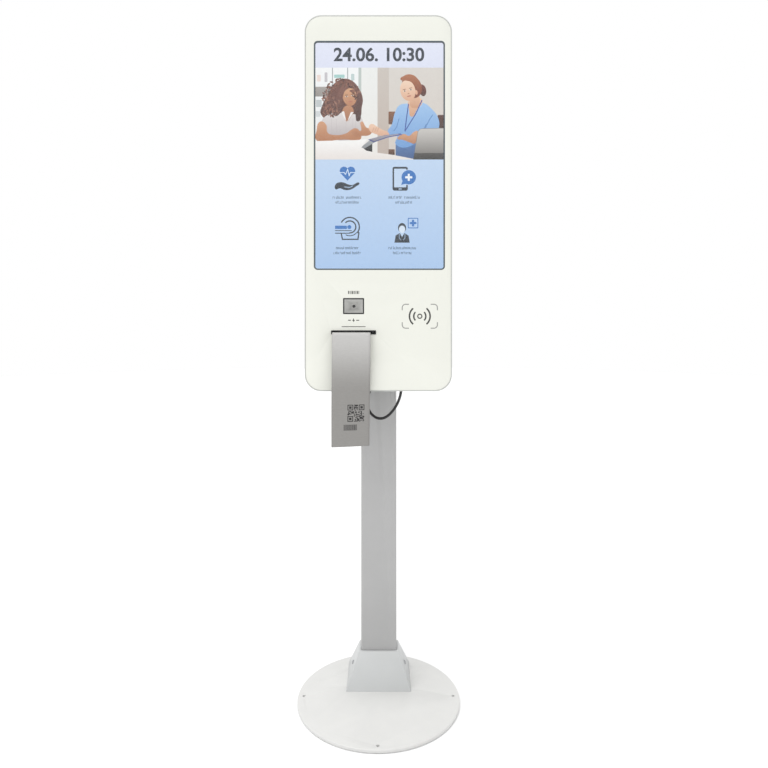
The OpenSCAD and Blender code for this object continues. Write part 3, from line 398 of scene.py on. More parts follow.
def build_dust():
    """Fine pale dust that settles on what faces up."""
    group, given, out = new_group(
        "Dust",
        {"Colour": (COLOUR, (0.8, 0.8, 0.8, 1)), "Dust": (COLOUR, (0.8, 0.79, 0.76, 1)),
         "Amount": (FLOAT, 0.1)},
        {"Colour": COLOUR},
    )
    normal = add(group, "ShaderNodeNewGeometry").outputs["Normal"]
    upward = add(
        group, "ShaderNodeMapRange",
        {"Value": add(group, "ShaderNodeSeparateXYZ", {0: normal}).outputs["Z"],
         "From Min": 0.4, "From Max": 1.0},
    )
    place = add(group, "ShaderNodeTexCoord").outputs["Object"]
    noise = add(
        group, "ShaderNodeTexNoise", {"Vector": place, "Scale": 38.0, "Detail": 6.0}
    ).outputs["Fac"]
    cover = add(group, "ShaderNodeMath", {0: upward.outputs[0], 1: noise}, operation="MULTIPLY")
    amount = add(
        group, "ShaderNodeMath", {0: cover.outputs[0], 1: given.outputs["Amount"]},
        operation="MULTIPLY",
    )
    mixed = mix(group, amount.outputs[0], given.outputs["Colour"], given.outputs["Dust"])
    group.links.new(mixed, out.inputs["Colour"])
    return group


GROUPS = {}


def use_group(tree, name, **inputs):
    """One of the shared effects, placed in a material with its own values."""
    return add(tree, "ShaderNodeGroup", inputs, node_tree=GROUPS[name])


def new_material(name, colour, **constants):
    """A material with its Principled shader, and plain numbers on the shader's sockets."""
    material = bpy.data.materials.new(name)
    material.use_nodes = True
    material.diffuse_color = (*colour, 1)
    shader = material.node_tree.nodes["Principled BSDF"]
    shader.inputs["Base Color"].default_value = (*colour, 1)
    for key, value in constants.items():
        shader.inputs[key.replace("_", " ")].default_value = value
    return material, material.node_tree, shader


def darker(colour, share):
    """A share of a colour's light."""
    return (*(c * share for c in colour), 1)


def mix(tree, share, first, second):
    """The colour that lies between two others by a share."""
    return add(
        tree, "ShaderNodeMix", {0: share, 6: first, 7: second}, data_type="RGBA"
    ).outputs[2]


def emboss(tree, shader, height, strength, distance):
    """Raises the surface's fine grain by a height that varies over it."""
    bump = add(
        tree, "ShaderNodeBump", {"Strength": strength, "Distance": distance, "Height": height}
    )
    tree.links.new(bump.outputs["Normal"], shader.inputs["Normal"])


def vary_gloss(tree, shader, low, high, **pattern):
    """Lets the roughness wander between two limits."""
    gloss = use_group(tree, "Mottle", Low=low, High=high, **pattern)
    tree.links.new(gloss.outputs["Value"], shader.inputs["Roughness"])


def skin(name, colour, roughness, grain, relief, mottle=0.94, dust=0.0, **constants):
    """Paint, plastic, rubber or board: a mottled colour under a fine skin."""
    material, tree, shader = new_material(name, colour, **constants)
    patch = use_group(tree, "Mottle", Scale=9.0)
    base = mix(tree, patch.outputs["Value"], darker(colour, mottle), (*colour, 1))
    if dust:
        base = use_group(tree, "Dust", Colour=base, Amount=dust).outputs["Colour"]
    tree.links.new(base, shader.inputs["Base Color"])
    vary_gloss(tree, shader, max(roughness - 0.06, 0.02), roughness + 0.06, Scale=60.0)
    height = use_group(tree, "Peel", Scale=grain).outputs["Height"]
    emboss(tree, shader, height, relief, 0.0003)
    return material


def metal(name, colour, roughness, stretch=(1, 1, 1), relief=0.05, **constants):
    """Bare metal with rolling or grinding lines along the axis that stretch leaves short."""
    material, tree, shader = new_material(name, colour, Metallic=1.0, **constants)
    lines = use_group(tree, "Mottle", Scale=260.0, Stretch=stretch)
    base = mix(tree, lines.outputs["Value"], darker(colour, 0.86), (*colour, 1))
    tree.links.new(base, shader.inputs["Base Color"])
    vary_gloss(
        tree, shader, max(roughness - 0.08, 0.02), roughness + 0.1, Scale=120.0, Stretch=stretch
    )
    emboss(tree, shader, lines.outputs["Value"], relief, 0.0002)
    return material


def white_glass():
    """White print seen through the gloss of the glass, with a few faint wipe marks."""
    colour = tuple(bpy.context.scene.kiosk_colours.white_print)
    material, tree, shader = new_material(
        "white_glass", colour, Roughness=0.32, Coat_Weight=1.0, Coat_Roughness=0.03,
        Coat_IOR=1.5,
    )
    wipes = use_group(tree, "Mottle", Scale=5.0, Stretch=(1.0, 1.0, 0.35))
    base = mix(tree, wipes.outputs["Value"], darker(colour, 0.975), (*colour, 1))
    tree.links.new(base, shader.inputs["Base Color"])
    vary_gloss(tree, shader, 0.26, 0.4, Scale=14.0, Stretch=(1.0, 1.0, 0.35))
    return material


def clear_glass():
    """The unprinted window, with a faint greasy mottle where fingers touch it."""
    material, tree, shader = new_material(
        "window_glass", (0.98, 0.99, 0.985), Metallic=0.0, Transmission_Weight=1.0, IOR=1.5,
    )
    vary_gloss(tree, shader, 0.0, 0.035, Scale=22.0)
    return material


def lit_screen():
    """The lit picture: each point glows in its own colour, with a faint fine grain."""
    material, tree, shader = new_material("lit_screen", (0.01, 0.01, 0.012), Roughness=0.35)
    picture = add(tree, "ShaderNodeAttribute", attribute_name="picture").outputs["Color"]
    grain = use_group(tree, "Mottle", Scale=140.0, Low=0.965, High=1.0).outputs["Value"]
    glow = add(
        tree, "ShaderNodeVectorMath", {0: picture, 1: grain}, operation="MULTIPLY"
    ).outputs[0]
    tree.links.new(glow, shader.inputs["Emission Color"])
    shader.inputs["Emission Strength"].default_value = 0.97
    return material


def till_paper():
    """Thin paper with fibres and a soft sheen, and painted shade: its colour darkens towards its lower
    end, where it faces further down, away from the light.
    """
    colours = bpy.context.scene.kiosk_colours
    top, low = tuple(colours.paper_lit_top), tuple(colours.paper_shaded_low)
    material, tree, shader = new_material("till_paper", top, Roughness=0.5, Sheen_Weight=0.1)
    height = add(
        tree, "ShaderNodeSeparateXYZ", {0: add(tree, "ShaderNodeTexCoord").outputs["Object"]}
    ).outputs["Z"]
    # Painted shade: the colour runs by height from the lit top colour to the shaded low colour
    painted_shade_share = add(
        tree, "ShaderNodeMapRange",
        {"Value": height, "From Min": RECEIPT_LOW.z + 0.11, "From Max": RECEIPT_HIGH.z},
        interpolation_type="SMOOTHSTEP",
    )
    shade = mix(tree, painted_shade_share.outputs[0], (*low, 1), (*top, 1))
    fibres = use_group(
        tree, "Mottle", Scale=420.0, Stretch=(0.3, 1.0, 1.0), Low=0.93, High=1.0
    ).outputs["Value"]
    base = add(tree, "ShaderNodeVectorMath", {0: shade, 1: fibres}, operation="MULTIPLY")
    tree.links.new(base.outputs[0], shader.inputs["Base Color"])
    vary_gloss(tree, shader, 0.38, 0.55, Scale=30.0)
    emboss(tree, shader, fibres, 0.08, 0.0001)
    return material


def circuit_board():
    """Green solder mask over copper tracks, with tinned pads."""
    mask, track, pad = (0.012, 0.11, 0.045), (0.03, 0.19, 0.08), (0.62, 0.6, 0.5)
    material, tree, shader = new_material(
        "circuit_board", mask, Roughness=0.3, Coat_Weight=0.4, Coat_Roughness=0.2
    )
    place = add(tree, "ShaderNodeTexCoord").outputs["Object"]
    turned = add(
        tree, "ShaderNodeMapping", {"Vector": place, "Rotation": (math.pi / 2, 0, 0)}
    ).outputs["Vector"]
    tracks = add(
        tree, "ShaderNodeTexBrick",
        {"Vector": turned, "Scale": 70.0, "Mortar Size": 0.06, "Brick Width": 1.3,
         "Row Height": 0.22, "Color1": (0, 0, 0, 1), "Color2": (0, 0, 0, 1),
         "Mortar": (1, 1, 1, 1)},
    ).outputs["Fac"]
    cells = add(
        tree, "ShaderNodeTexVoronoi", {"Vector": turned, "Scale": 260.0}, feature="F1"
    ).outputs["Distance"]
    dots = add(tree, "ShaderNodeMapRange", {"Value": cells, "From Min": 0.2, "From Max": 0.14})
    green = mix(tree, tracks, (*mask, 1), (*track, 1))
    base = mix(tree, dots.outputs[0], green, (*pad, 1))
    tree.links.new(base, shader.inputs["Base Color"])
    emboss(tree, shader, tracks, 0.2, 0.0001)
    return material


def roll_paper():
    """The white roll: its wound edge shows as fine rings about the spindle."""
    material, tree, shader = new_material("roll_paper", (0.82, 0.82, 0.8), Roughness=0.7)
    place = add(tree, "ShaderNodeTexCoord").outputs["Object"]
    centred = add(
        tree, "ShaderNodeMapping",
        {"Vector": place, "Location": (0, -ROLL_CENTRE.y, -ROLL_CENTRE.z)},
    ).outputs["Vector"]
    rings = add(
        tree, "ShaderNodeTexWave", {"Vector": centred, "Scale": 420.0, "Distortion": 0.6},
        wave_type="RINGS", rings_direction="X",
    ).outputs["Fac"]
    base = mix(tree, rings, (0.7, 0.7, 0.68, 1), (0.84, 0.84, 0.82, 1))
    tree.links.new(base, shader.inputs["Base Color"])
    emboss(tree, shader, rings, 0.15, 0.0001)
    return material


MATERIALS = {}


def build_materials():
    """Every finish, named by the material slot or the part that wears it."""
    GROUPS["Mottle"] = build_mottle()
    GROUPS["Peel"] = build_peel()
    GROUPS["Dust"] = build_dust()
    c = bpy.context.scene.kiosk_colours
    lines_x, lines_z = (0.04, 1, 1), (1, 1, 0.04)
    MATERIALS.update({
        "stand_paint": skin("stand_paint", tuple(c.stand), 0.42, 620, 0.22, dust=0.2),
        "disc_paint": skin("disc_paint", tuple(c.disc), 0.36, 560, 0.25, 0.96, dust=0.25),
        "cover_paint": skin("cover_paint", tuple(c.cover), 0.38, 560, 0.25, 0.96, dust=0.2),
        "housing_paint": skin("housing_paint", tuple(c.housing), 0.5, 480, 0.35, dust=0.2),
        "frame_paint": skin("frame_paint", tuple(c.rim), 0.4, 620, 0.2, dust=0.1),
        "display_face": skin("display_face", (0.03, 0.031, 0.034), 0.5, 500, 0.1),
        "black_plastic": skin("black_plastic", (0.022, 0.022, 0.024), 0.5, 900, 0.35, 0.8),
        "grey_plastic": skin("grey_plastic", (0.2, 0.205, 0.21), 0.48, 900, 0.3, 0.88),
        "green_plastic": skin("green_plastic", (0.03, 0.3, 0.11), 0.35, 900, 0.2, 0.88),
        "white_nylon": skin("white_nylon", (0.78, 0.76, 0.7), 0.45, 500, 0.15, 0.95),
        "black_rubber": skin("black_rubber", (0.028, 0.028, 0.028), 0.78, 700, 0.4, 0.75),
        "platen_rubber": skin("platen_rubber", (0.07, 0.07, 0.075), 0.6, 1200, 0.3, 0.85),
        "cable_sheath": skin("cable_sheath", (0.014, 0.014, 0.015), 0.38, 800, 0.12, 0.8),
        "ink": skin("ink", tuple(c.ink), 0.3, 900, 0.05, 0.92, Coat_Weight=0.6),
        "pale_ink": skin("pale_ink", tuple(c.pale_ink), 0.3, 900, 0.05, 0.95, Coat_Weight=0.6),
        "border": skin("border", tuple(c.border), 0.3, 900, 0.03, 0.94, Coat_Weight=1.0),
        "toner": skin("toner", (0.022, 0.02, 0.02), 0.55, 1500, 0.3, 0.7),
        "cardboard": skin("cardboard", (0.36, 0.25, 0.15), 0.8, 400, 0.5, 0.85),
        "funnel_satin": skin(
            "funnel_satin", (0.47, 0.47, 0.45), 0.34, 900, 0.12, 0.9, Metallic=0.35
        ),
        "bare_steel": metal("bare_steel", (0.56, 0.57, 0.58), 0.36, lines_z),
        "blade_steel": metal("blade_steel", (0.66, 0.67, 0.68), 0.2, lines_x),
        "zinc_screws": metal("zinc_screws", (0.5, 0.51, 0.52), 0.32),
        "chromed_lock": metal("chromed_lock", (0.75, 0.75, 0.76), 0.12, relief=0.01),
        "bare_aluminium": metal("bare_aluminium", (0.64, 0.65, 0.66), 0.38, lines_z),
        "brass_gear": metal("brass_gear", (0.68, 0.47, 0.19), 0.28),
        "white_glass": white_glass(),
        "window_glass": clear_glass(),
        "lens_glass": skin("lens_glass", (0.004, 0.004, 0.006), 0.1, 300, 0.0, 0.6,
                           Coat_Weight=1.0),
        "lit_screen": lit_screen(),
        "till_paper": till_paper(),
        "roll_paper": roll_paper(),
        "circuit_board": circuit_board(),
    })


# ---------------------------------------------------------------- operators


class KioskOperator(bpy.types.Operator):
    """Shared options of the kiosk's operators."""

    bl_options = {"REGISTER", "UNDO"}


class KIOSK_OT_stage(KioskOperator):
    """Camera, soft lights and the pale floor"""

    bl_idname = "kiosk.stage"
    bl_label = "Stage"

    def execute(self, context):
        scene = context.scene
        settings = scene.kiosk_stage
        scene.view_settings.view_transform = "Standard"
        self.place_camera(scene, settings)
        overhead = bpy.data.lights.new("overhead", "SUN")
        overhead.angle = math.radians(50)
        self.hang_light(overhead, (-0.25, -0.2, 3), (0, 0, 2), settings.overhead)
        front_left = bpy.data.lights.new("front_left", "AREA")
        front_left.size = 1.6
        self.hang_light(front_left, (-2.4, -2.2, 1.7), (0, 0, 0.9), settings.side)
        self.light_surround(scene, settings.surround)
        self.lay_floor(scene)
        return {"FINISHED"}

    def place_camera(self, scene, settings):
        camera = bpy.data.objects.new("camera", bpy.data.cameras.new("camera"))
        camera.data.lens = settings.lens
        camera.data.shift_y = settings.rise
        camera.location = settings.eye
        camera.rotation_euler = (math.pi / 2, 0, 0)
        scene.collection.objects.link(camera)
        scene.camera = camera

    def hang_light(self, lamp, place, target, power):
        lamp.energy = power
        obj = bpy.data.objects.new(lamp.name, lamp)
        obj.location = place
        aim = Vector(target) - Vector(place)
        obj.rotation_euler = aim.to_track_quat("-Z", "Y").to_euler()
        bpy.context.scene.collection.objects.link(obj)

    def light_surround(self, scene, strength):
        """White to the eye, and a little dimmer as light so that the white keeps its shape."""
        world = bpy.data.worlds.new("surround")
        world.use_nodes = True
        tree = world.node_tree
        seen = add(tree, "ShaderNodeLightPath").outputs["Is Camera Ray"]
        level = add(
            tree, "ShaderNodeMapRange", {"Value": seen, "To Min": strength, "To Max": 1.0}
        )
        background = tree.nodes["Background"]
        background.inputs["Color"].default_value = (1, 1, 1, 1)
        tree.links.new(level.outputs[0], background.inputs["Strength"])
        scene.world = world

    def lay_floor(self, scene):
        bm = bmesh.new()
        bmesh.ops.create_circle(bm, cap_ends=True, segments=96, radius=9.0)
        mesh = bpy.data.meshes.new("floor")
        bm.to_mesh(mesh)
        bm.free()
        floor = bpy.data.objects.new("floor", mesh)
        floor.data.materials.append(
            skin("floor_white", (0.96, 0.96, 0.96), 0.8, 60, 0.02, 0.99)
        )
        scene.collection.objects.link(floor)


class KIOSK_OT_cable(KioskOperator):
    """The cable that loops from the head into the post"""

    bl_idname = "kiosk.cable"
    bl_label = "Cable"

    def execute(self, context):
        diameter = context.scene.kiosk_sizes.cable_diameter
        line = smooth_line([Vector(p) for p in CABLE_WAY], steps=6)
        curve = bpy.data.curves.new("cable", "CURVE")
        curve.dimensions = "3D"
        curve.bevel_depth = diameter / 2
        curve.bevel_resolution = 5
        curve.use_fill_caps = True
        spline = curve.splines.new("POLY")
        spline.points.add(len(line) - 1)
        for point, place in zip(spline.points, line):
            point.co = (*place, 1)
        spline.use_smooth = True
        cable = bpy.data.objects.new("cable", curve)
        curve.materials.append(MATERIALS["cable_sheath"])
        context.scene.collection.objects.link(cable)
        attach(cable, "stand")
        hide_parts("cable_loop")
        return {"FINISHED"}


def smooth_line(points, steps):
    """Points on the smooth curve that runs through the given ones."""
    line = []
    last = len(points) - 1
    for i in range(last):
        a, b = points[max(i - 1, 0)], points[i]
        c, d = points[i + 1], points[min(i + 2, last)]
        for step in range(steps):
            t = step / steps
            line.append(
                0.5 * (2 * b + (c - a) * t + (2 * a - 5 * b + 4 * c - d) * t * t
                       + (3 * b - a - 3 * c + d) * t ** 3)
            )
    return line + [points[last]]


class KIOSK_OT_finishes(KioskOperator):
    """The finish of every CAD node that keeps its shape"""

    bl_idname = "kiosk.finishes"
    bl_label = "Finishes"

    def execute(self, context):
        for part in frame["record"]["subparts"]:
            mesh = NODES[part["node"]].data
            mesh.materials.clear()
            mesh.materials.append(MATERIALS[part["material_slot"]])
        return {"FINISHED"}


def replace_with_copy(node, name, body, materials, bevel=0.0, choose=None, smooth=35):
    """A copy of a CAD node with rounded edges, and with its own finish on each region."""
    bm = copy_of(node, bevel, smooth)
    if choose:
        pick_materials(bm, choose)
    piece = finish_piece(name, bm, [MATERIALS[m] for m in materials], body, smooth)
    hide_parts(node)
    return piece


class KIOSK_OT_stand(KioskOperator):
    """Base, foot cover, post and cap with eased edges"""

    bl_idname = "kiosk.stand"
    bl_label = "Stand"

    def execute(self, context):
        for node, name, paint, bevel in (
            ("base_plate", "base_disc", "disc_paint", 1.2 * MM),
            ("foot_cover", "foot_shroud", "cover_paint", 0.8 * MM),
            ("post", "post_tube", "stand_paint", 0.25 * MM),
        ):
            replace_with_copy(node, name, "stand", [paint], bevel)
        replace_with_copy("mount_bracket", "bracket_plate", "stand",
                          ["stand_paint"], 0.4 * MM)
        return {"FINISHED"}


class KIOSK_OT_head(KioskOperator):
    """Door frame, housing, and the funnel and bezel in the glass"""

    bl_idname = "kiosk.head"
    bl_label = "Head"

    def execute(self, context):
        replace_with_copy("door_frame", "door_rim", "door", ["frame_paint"],
                          0.4 * MM)
        replace_with_copy("rear_housing", "housing_shell", "stand",
                          ["housing_paint"], 0.4 * MM)
        lip = FUNNEL_LOW.y + SKIN
        replace_with_copy(
            "scanner_funnel", "funnel", "door",
            ["funnel_satin", "black_plastic"],
            choose=lambda centre: 1 if centre.y < lip or self.outside_mouth(centre) else 0,
        )
        replace_with_copy("slot_bezel", "slot_mouth", "door",
                          ["black_plastic"], 0.2 * MM)
        return {"FINISHED"}

    def outside_mouth(self, centre):
        """True on the funnel's outer walls, which are black like its lip."""
        half = Vector((20.5, 0, 15.5)) * MM
        away = centre - SCANNER_CENTRE
        return abs(away.x) > half.x or abs(away.z) > half.z


class KIOSK_OT_glass(KioskOperator):
    """The cover glass: white print, dark line and clear window in one pane"""

    bl_idname = "kiosk.glass"
    bl_label = "Cover glass"

    def execute(self, context):
        sizes = context.scene.kiosk_sizes
        bm = bmesh.new()
        border = sizes.window_border
        outer = self.loop(bm, GLASS_CENTRE, GLASS_HIGH - GLASS_LOW, GLASS_CORNER, 12)
        window_size = Vector((sizes.window_width, 0, sizes.window_height))
        inner_size = window_size - Vector((2 * border, 0, 2 * border))
        centre = PANEL_CENTRE + Vector((sizes.window_offset, 0, 0))
        window = self.loop(bm, centre, window_size, sizes.window_radius, 8)
        inner = self.loop(bm, centre, inner_size, sizes.window_radius - border, 8)
        scanner = self.loop(bm, SCANNER_CENTRE, Vector((44, 0, 33.6)) * MM, 1.5 * MM, 4)
        slot = self.loop(bm, SLOT_CENTRE, Vector((94, 0, 8.4)) * MM, 1.5 * MM, 4)
        self.fill(bm, outer + window + scanner + slot, 0)
        self.fill(bm, window + inner, 1)
        self.fill(bm, inner, 2)
        bmesh.ops.recalc_face_normals(bm, faces=bm.faces)
        face_forward(bm)
        front = list(bm.faces)
        rim = [e for e in bm.edges if e.is_boundary]
        back = bmesh.ops.extrude_face_region(bm, geom=front, use_keep_orig=True)["geom"]
        moved = [v for v in back if isinstance(v, bmesh.types.BMVert)]
        bmesh.ops.translate(bm, verts=moved, vec=(0, GLASS_BACK - GLASS_FRONT, 0))
        bmesh.ops.recalc_face_normals(bm, faces=bm.faces)
        bmesh.ops.bevel(
            bm, geom=[e for e in rim if e.is_valid], offset=sizes.edge, segments=2,
            affect="EDGES", profile=0.5, material=-1, clamp_overlap=True,
        )
        pane = finish_piece(
            "cover_glass", bm,
            [MATERIALS["white_glass"], MATERIALS["border"], MATERIALS["window_glass"]],
            "door", 35,
        )
        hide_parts("front_glass")
        return {"FINISHED"}

    def loop(self, bm, centre, size, radius, segments):
        """The edges of a rounded outline in the plane of the glass's front."""
        verts = rounded_face(
            bm, centre.x, centre.z, size.x, size.z, radius, GLASS_FRONT, segments=segments
        )
        face = next(f for f in verts[0].link_faces)
        edges = list(face.edges)
        bmesh.ops.delete(bm, geom=[face], context="FACES_ONLY")
        return edges

    def fill(self, bm, edges, index):
        made = bmesh.ops.triangle_fill(
            bm, edges=edges, use_beauty=True, use_dissolve=False, normal=(0, -1, 0)
        )["geom"]
        for item in made:
            if isinstance(item, bmesh.types.BMFace):
                item.material_index = index


class Screen:
    """A flat drawing on the display, in millimetres from its centre, laid in thin layers."""

    def __init__(self):
        self.bm = bmesh.new()
        self.paint = self.bm.verts.layers.float_color.new("picture")
        self.layer = 0
        self.held = False
        self.centre = PANEL_CENTRE.x + bpy.context.scene.kiosk_sizes.window_offset

    def hold(self):
        """Keeps what follows in one layer."""
        self.depth()
        self.held = True

    def release(self):
        self.held = False

    def depth(self):
        self.layer += 0 if self.held else 1
        return PANEL_LOW.y - (0.15 + self.layer * 0.007) * MM

    def colour(self, verts, low, high=None):
        """Paints new vertices, from one colour at their lowest to another at their highest."""
        high = low if high is None else high
        low, high = srgb(low), srgb(high)
        verts = list(verts)
        bottom = min(v.co.z for v in verts)
        top = max(v.co.z for v in verts)
        for vert in verts:
            share = (vert.co.z - bottom) / max(top - bottom, 1e-9)
            mixed = [a + (b - a) * share for a, b in zip(low, high)]
            vert[self.paint] = (*mixed, 1)

    def place(self, x, z):
        return x * MM + self.centre, z * MM + PANEL_CENTRE.z

    def block(self, x0, z0, x1, z1, low, high=None, radius=0.0, tilt=0.0):
        x, z = self.place((x0 + x1) / 2, (z0 + z1) / 2)
        verts = rounded_face(
            self.bm, x, z, abs(x1 - x0) * MM, abs(z1 - z0) * MM, radius * MM, self.depth(),
            math.radians(tilt),
        )
        self.colour(verts, low, high)

    def oval(self, x, z, rx, rz, low, high=None, tilt=0.0, segments=28):
        x, z = self.place(x, z)
        verts = oval(self.bm, x, z, rx * MM, rz * MM, self.depth(), math.radians(tilt), segments)
        self.colour(verts, low, high)

    def stroke(self, points, width, tone):
        """A line of even width through the points."""
        for (x0, z0), (x1, z1) in zip(points, points[1:]):
            x, z = self.place((x0 + x1) / 2, (z0 + z1) / 2)
            length = math.hypot(x1 - x0, z1 - z0) + width
            verts = rounded_face(
                self.bm, x, z, length * MM, width * MM, width * 0.45 * MM, self.depth(),
                math.atan2(z1 - z0, x1 - x0), 3,
            )
            self.colour(verts, tone)

    def shape(self, points, low, high=None, smooth=True):
        placed = [self.place(x, z) for x, z in points]
        self.colour(outline(self.bm, placed, self.depth(), smooth), low, high)

    def arc(self, x, z, radius, stroke, start, end, colour):
        x, z = self.place(x, z)
        self.colour(
            arc_band(self.bm, x, z, radius * MM, stroke * MM, start, end, self.depth()), colour
        )

    def figures(self, text, x, z, height, colour):
        """Clock figures in the built-in typeface, thickened."""
        curve = bpy.data.curves.new("figures", "FONT")
        curve.body = text
        curve.align_x = "CENTER"
        curve.align_y = "CENTER"
        curve.size = height * MM / 0.7
        curve.offset = height * MM * 0.035
        x, z = self.place(x, z)
        self.colour(flat_curve(self.bm, curve, upright(x, self.depth(), z)), colour)


SLATE = 0x212D3A
BLUE = 0x2A73C0
ICON_GROUND = 0xC0D8F4


def draw_room(screen):
    """A bright office behind two people: cupboards, a white column and a plain wall."""
    screen.block(-136, -8, -42, 185, 0xE9ECED, 0xFAFBFC)
    screen.block(-42, -8, -4, 185, 0xEEEAE6, 0xF2F3F1)
    screen.block(-4, -8, 136, 185, 0xD6CDC6, 0xDED8D2)
    screen.block(-4, -8, 20, 185, 0xC2B2A8, 0xD0C7BF)
    screen.block(-44, 60, -38, 185, 0xCBD2CE, 0xBFC9C5)
    for x in (-98.4, -66.6):
        screen.block(x - 0.9, 140, x + 0.9, 185, 0x9BA1A3)
    screen.block(-136, 124.5, -98, 145, 0x97918C, 0xA9A39F)
    for x, z, w, h, tone in (
        (-127, 163, 8, 14, 0xF0DDD6), (-112, 165, 6, 20, 0xC9C6CB), (-84, 167, 22, 7, 0xA8D3CF),
        (-56, 165, 7, 14, 0xC4D6D6), (-127, 110, 12, 15, 0xC3CACC), (-129, 88, 10, 12, 0xD5DADC),
    ):
        screen.block(x - w / 2, z - h / 2, x + w / 2, z + h / 2, tone, None, 1.5)
    screen.block(19, 66, 34, 93, 0x66402B, 0x8A5A3C, 2)
    screen.block(19, 2, 32, 14, 0x4C2E20, 0x6E4630, 1)
    screen.block(122, 56, 136, 86, 0x3A201A, 0x5A352A, 2)


def draw_face(screen, x, z, size, skin_low, skin_high, tilt, brow):
    """A calm, plain face: eyes at half its height, then nose and mouth by thirds."""
    turn = math.radians(tilt)

    def feature(across, up, rx, rz, tone):
        screen.oval(
            x + size * (across * math.cos(turn) - up * math.sin(turn)),
            z + size * (across * math.sin(turn) + up * math.cos(turn)),
            size * rx, size * rz, tone, None, tilt,
        )

    screen.oval(x, z, size * 0.72, size, skin_low, skin_high, tilt)
    for side in (-1, 1):
        feature(side * 0.3, 0.02, 0.15, 0.055, 0xF1E6DF)
        feature(side * 0.3, 0.02, 0.07, 0.055, 0x3A2A22)
        feature(side * 0.3, 0.17, 0.17, 0.03, brow)
    feature(0.0, -0.3, 0.09, 0.045, 0xB9815F)
    feature(0.0, -0.55, 0.2, 0.05, 0xB8655A)


def draw_visitor(screen):
    """The person on the left: curly brown hair, pale blouse, arms on the counter."""
    hair, hair_light = 0x57332A, 0x7A4B3E
    skin_low, skin_high = 0xB4764F, 0xD59D77
    screen.shape(
        [(-122, 86), (-119, 108), (-106, 132), (-98, 148), (-86, 158), (-74, 162), (-58, 158),
         (-44, 143), (-35, 121), (-37, 102), (-43, 80), (-54, 84), (-84, 84), (-104, 80)],
        hair, hair_light,
    )
    screen.shape(
        [(-124, 46), (-121, 74), (-108, 86), (-86, 90), (-62, 88), (-42, 84), (-34, 70),
         (-40, 46), (-56, 34), (-90, 34), (-106, 44)],
        0xB3AAAD, 0xE6E0DF,
    )
    for x, lean in ((-100, 2), (-90, 1), (-70, 0), (-56, -1), (-50, -2)):
        screen.block(x - 0.7, 42, x + 0.7, 78, 0xBDB4B6, 0xD2CBCB, 0.5, lean)
    screen.shape([(-78, 94), (-66, 106), (-54, 96), (-60, 82), (-69, 72), (-74, 82)],
                 0xA86C49, 0xC28A65)
    screen.shape([(-80, 92), (-69, 70), (-74, 94)], 0xF4F0EF, None, False)
    screen.shape([(-54, 92), (-68, 70), (-60, 92)], 0xF4F0EF, None, False)
    draw_face(screen, -62.5, 125, 20.5, 0xBC7F5A, 0xDCA982, 9, 0x45291F)
    screen.shape(
        [(-94, 84), (-92, 112), (-84, 138), (-70, 152), (-54, 148), (-47, 136), (-58, 142),
         (-70, 138), (-77, 122), (-79, 104), (-82, 90)],
        hair, 0x86574A,
    )
    screen.shape(
        [(-47, 140), (-38, 122), (-40, 100), (-45, 72), (-50, 84), (-49, 104), (-47, 122)],
        0x442720, 0x6B4036,
    )
    curls = random.Random(3)
    screen.hold()
    for _ in range(150):
        angle = curls.uniform(0.02, 1.3) * math.pi
        reach = math.sqrt(curls.uniform(0.42, 1.02))
        x = -79 + 40 * reach * math.cos(angle)
        z = 118 + 44 * reach * math.sin(angle)
        size = curls.uniform(1.8, 4.2)
        tone = curls.choice((0x4A2A22, 0x65402F, 0x8A5B4B, 0x9C6E5D, 0x73483B))
        screen.oval(x, z, size, size * 0.45, tone, None, curls.uniform(0, 180), segments=12)
    for _ in range(60):
        x = curls.uniform(-119, -84)
        z = curls.uniform(82, 124)
        size = curls.uniform(2.0, 4.4)
        tone = curls.choice((0x5A362B, 0x7A4E40, 0xA17462, 0x8C6050))
        screen.oval(x, z, size, size * 0.4, tone, None, curls.uniform(50, 130), segments=12)
    screen.release()
    screen.shape(
        [(-124, 72), (-132, 52), (-133, 34), (-118, 29), (-92, 33), (-66, 34), (-48, 32),
         (-38, 38), (-46, 54), (-56, 56), (-70, 47), (-96, 44), (-108, 48), (-112, 66)],
        skin_low, skin_high,
    )
    screen.shape(
        [(-38, 72), (-28, 60), (-16, 54), (-18, 46), (-34, 42), (-50, 46), (-56, 56), (-46, 57),
         (-40, 52)],
        skin_low, skin_high,
    )
    for x in (-54, -49.5, -45):
        screen.block(x - 0.5, 38, x + 0.5, 52, 0x9E6444, None, 0.4, 38)


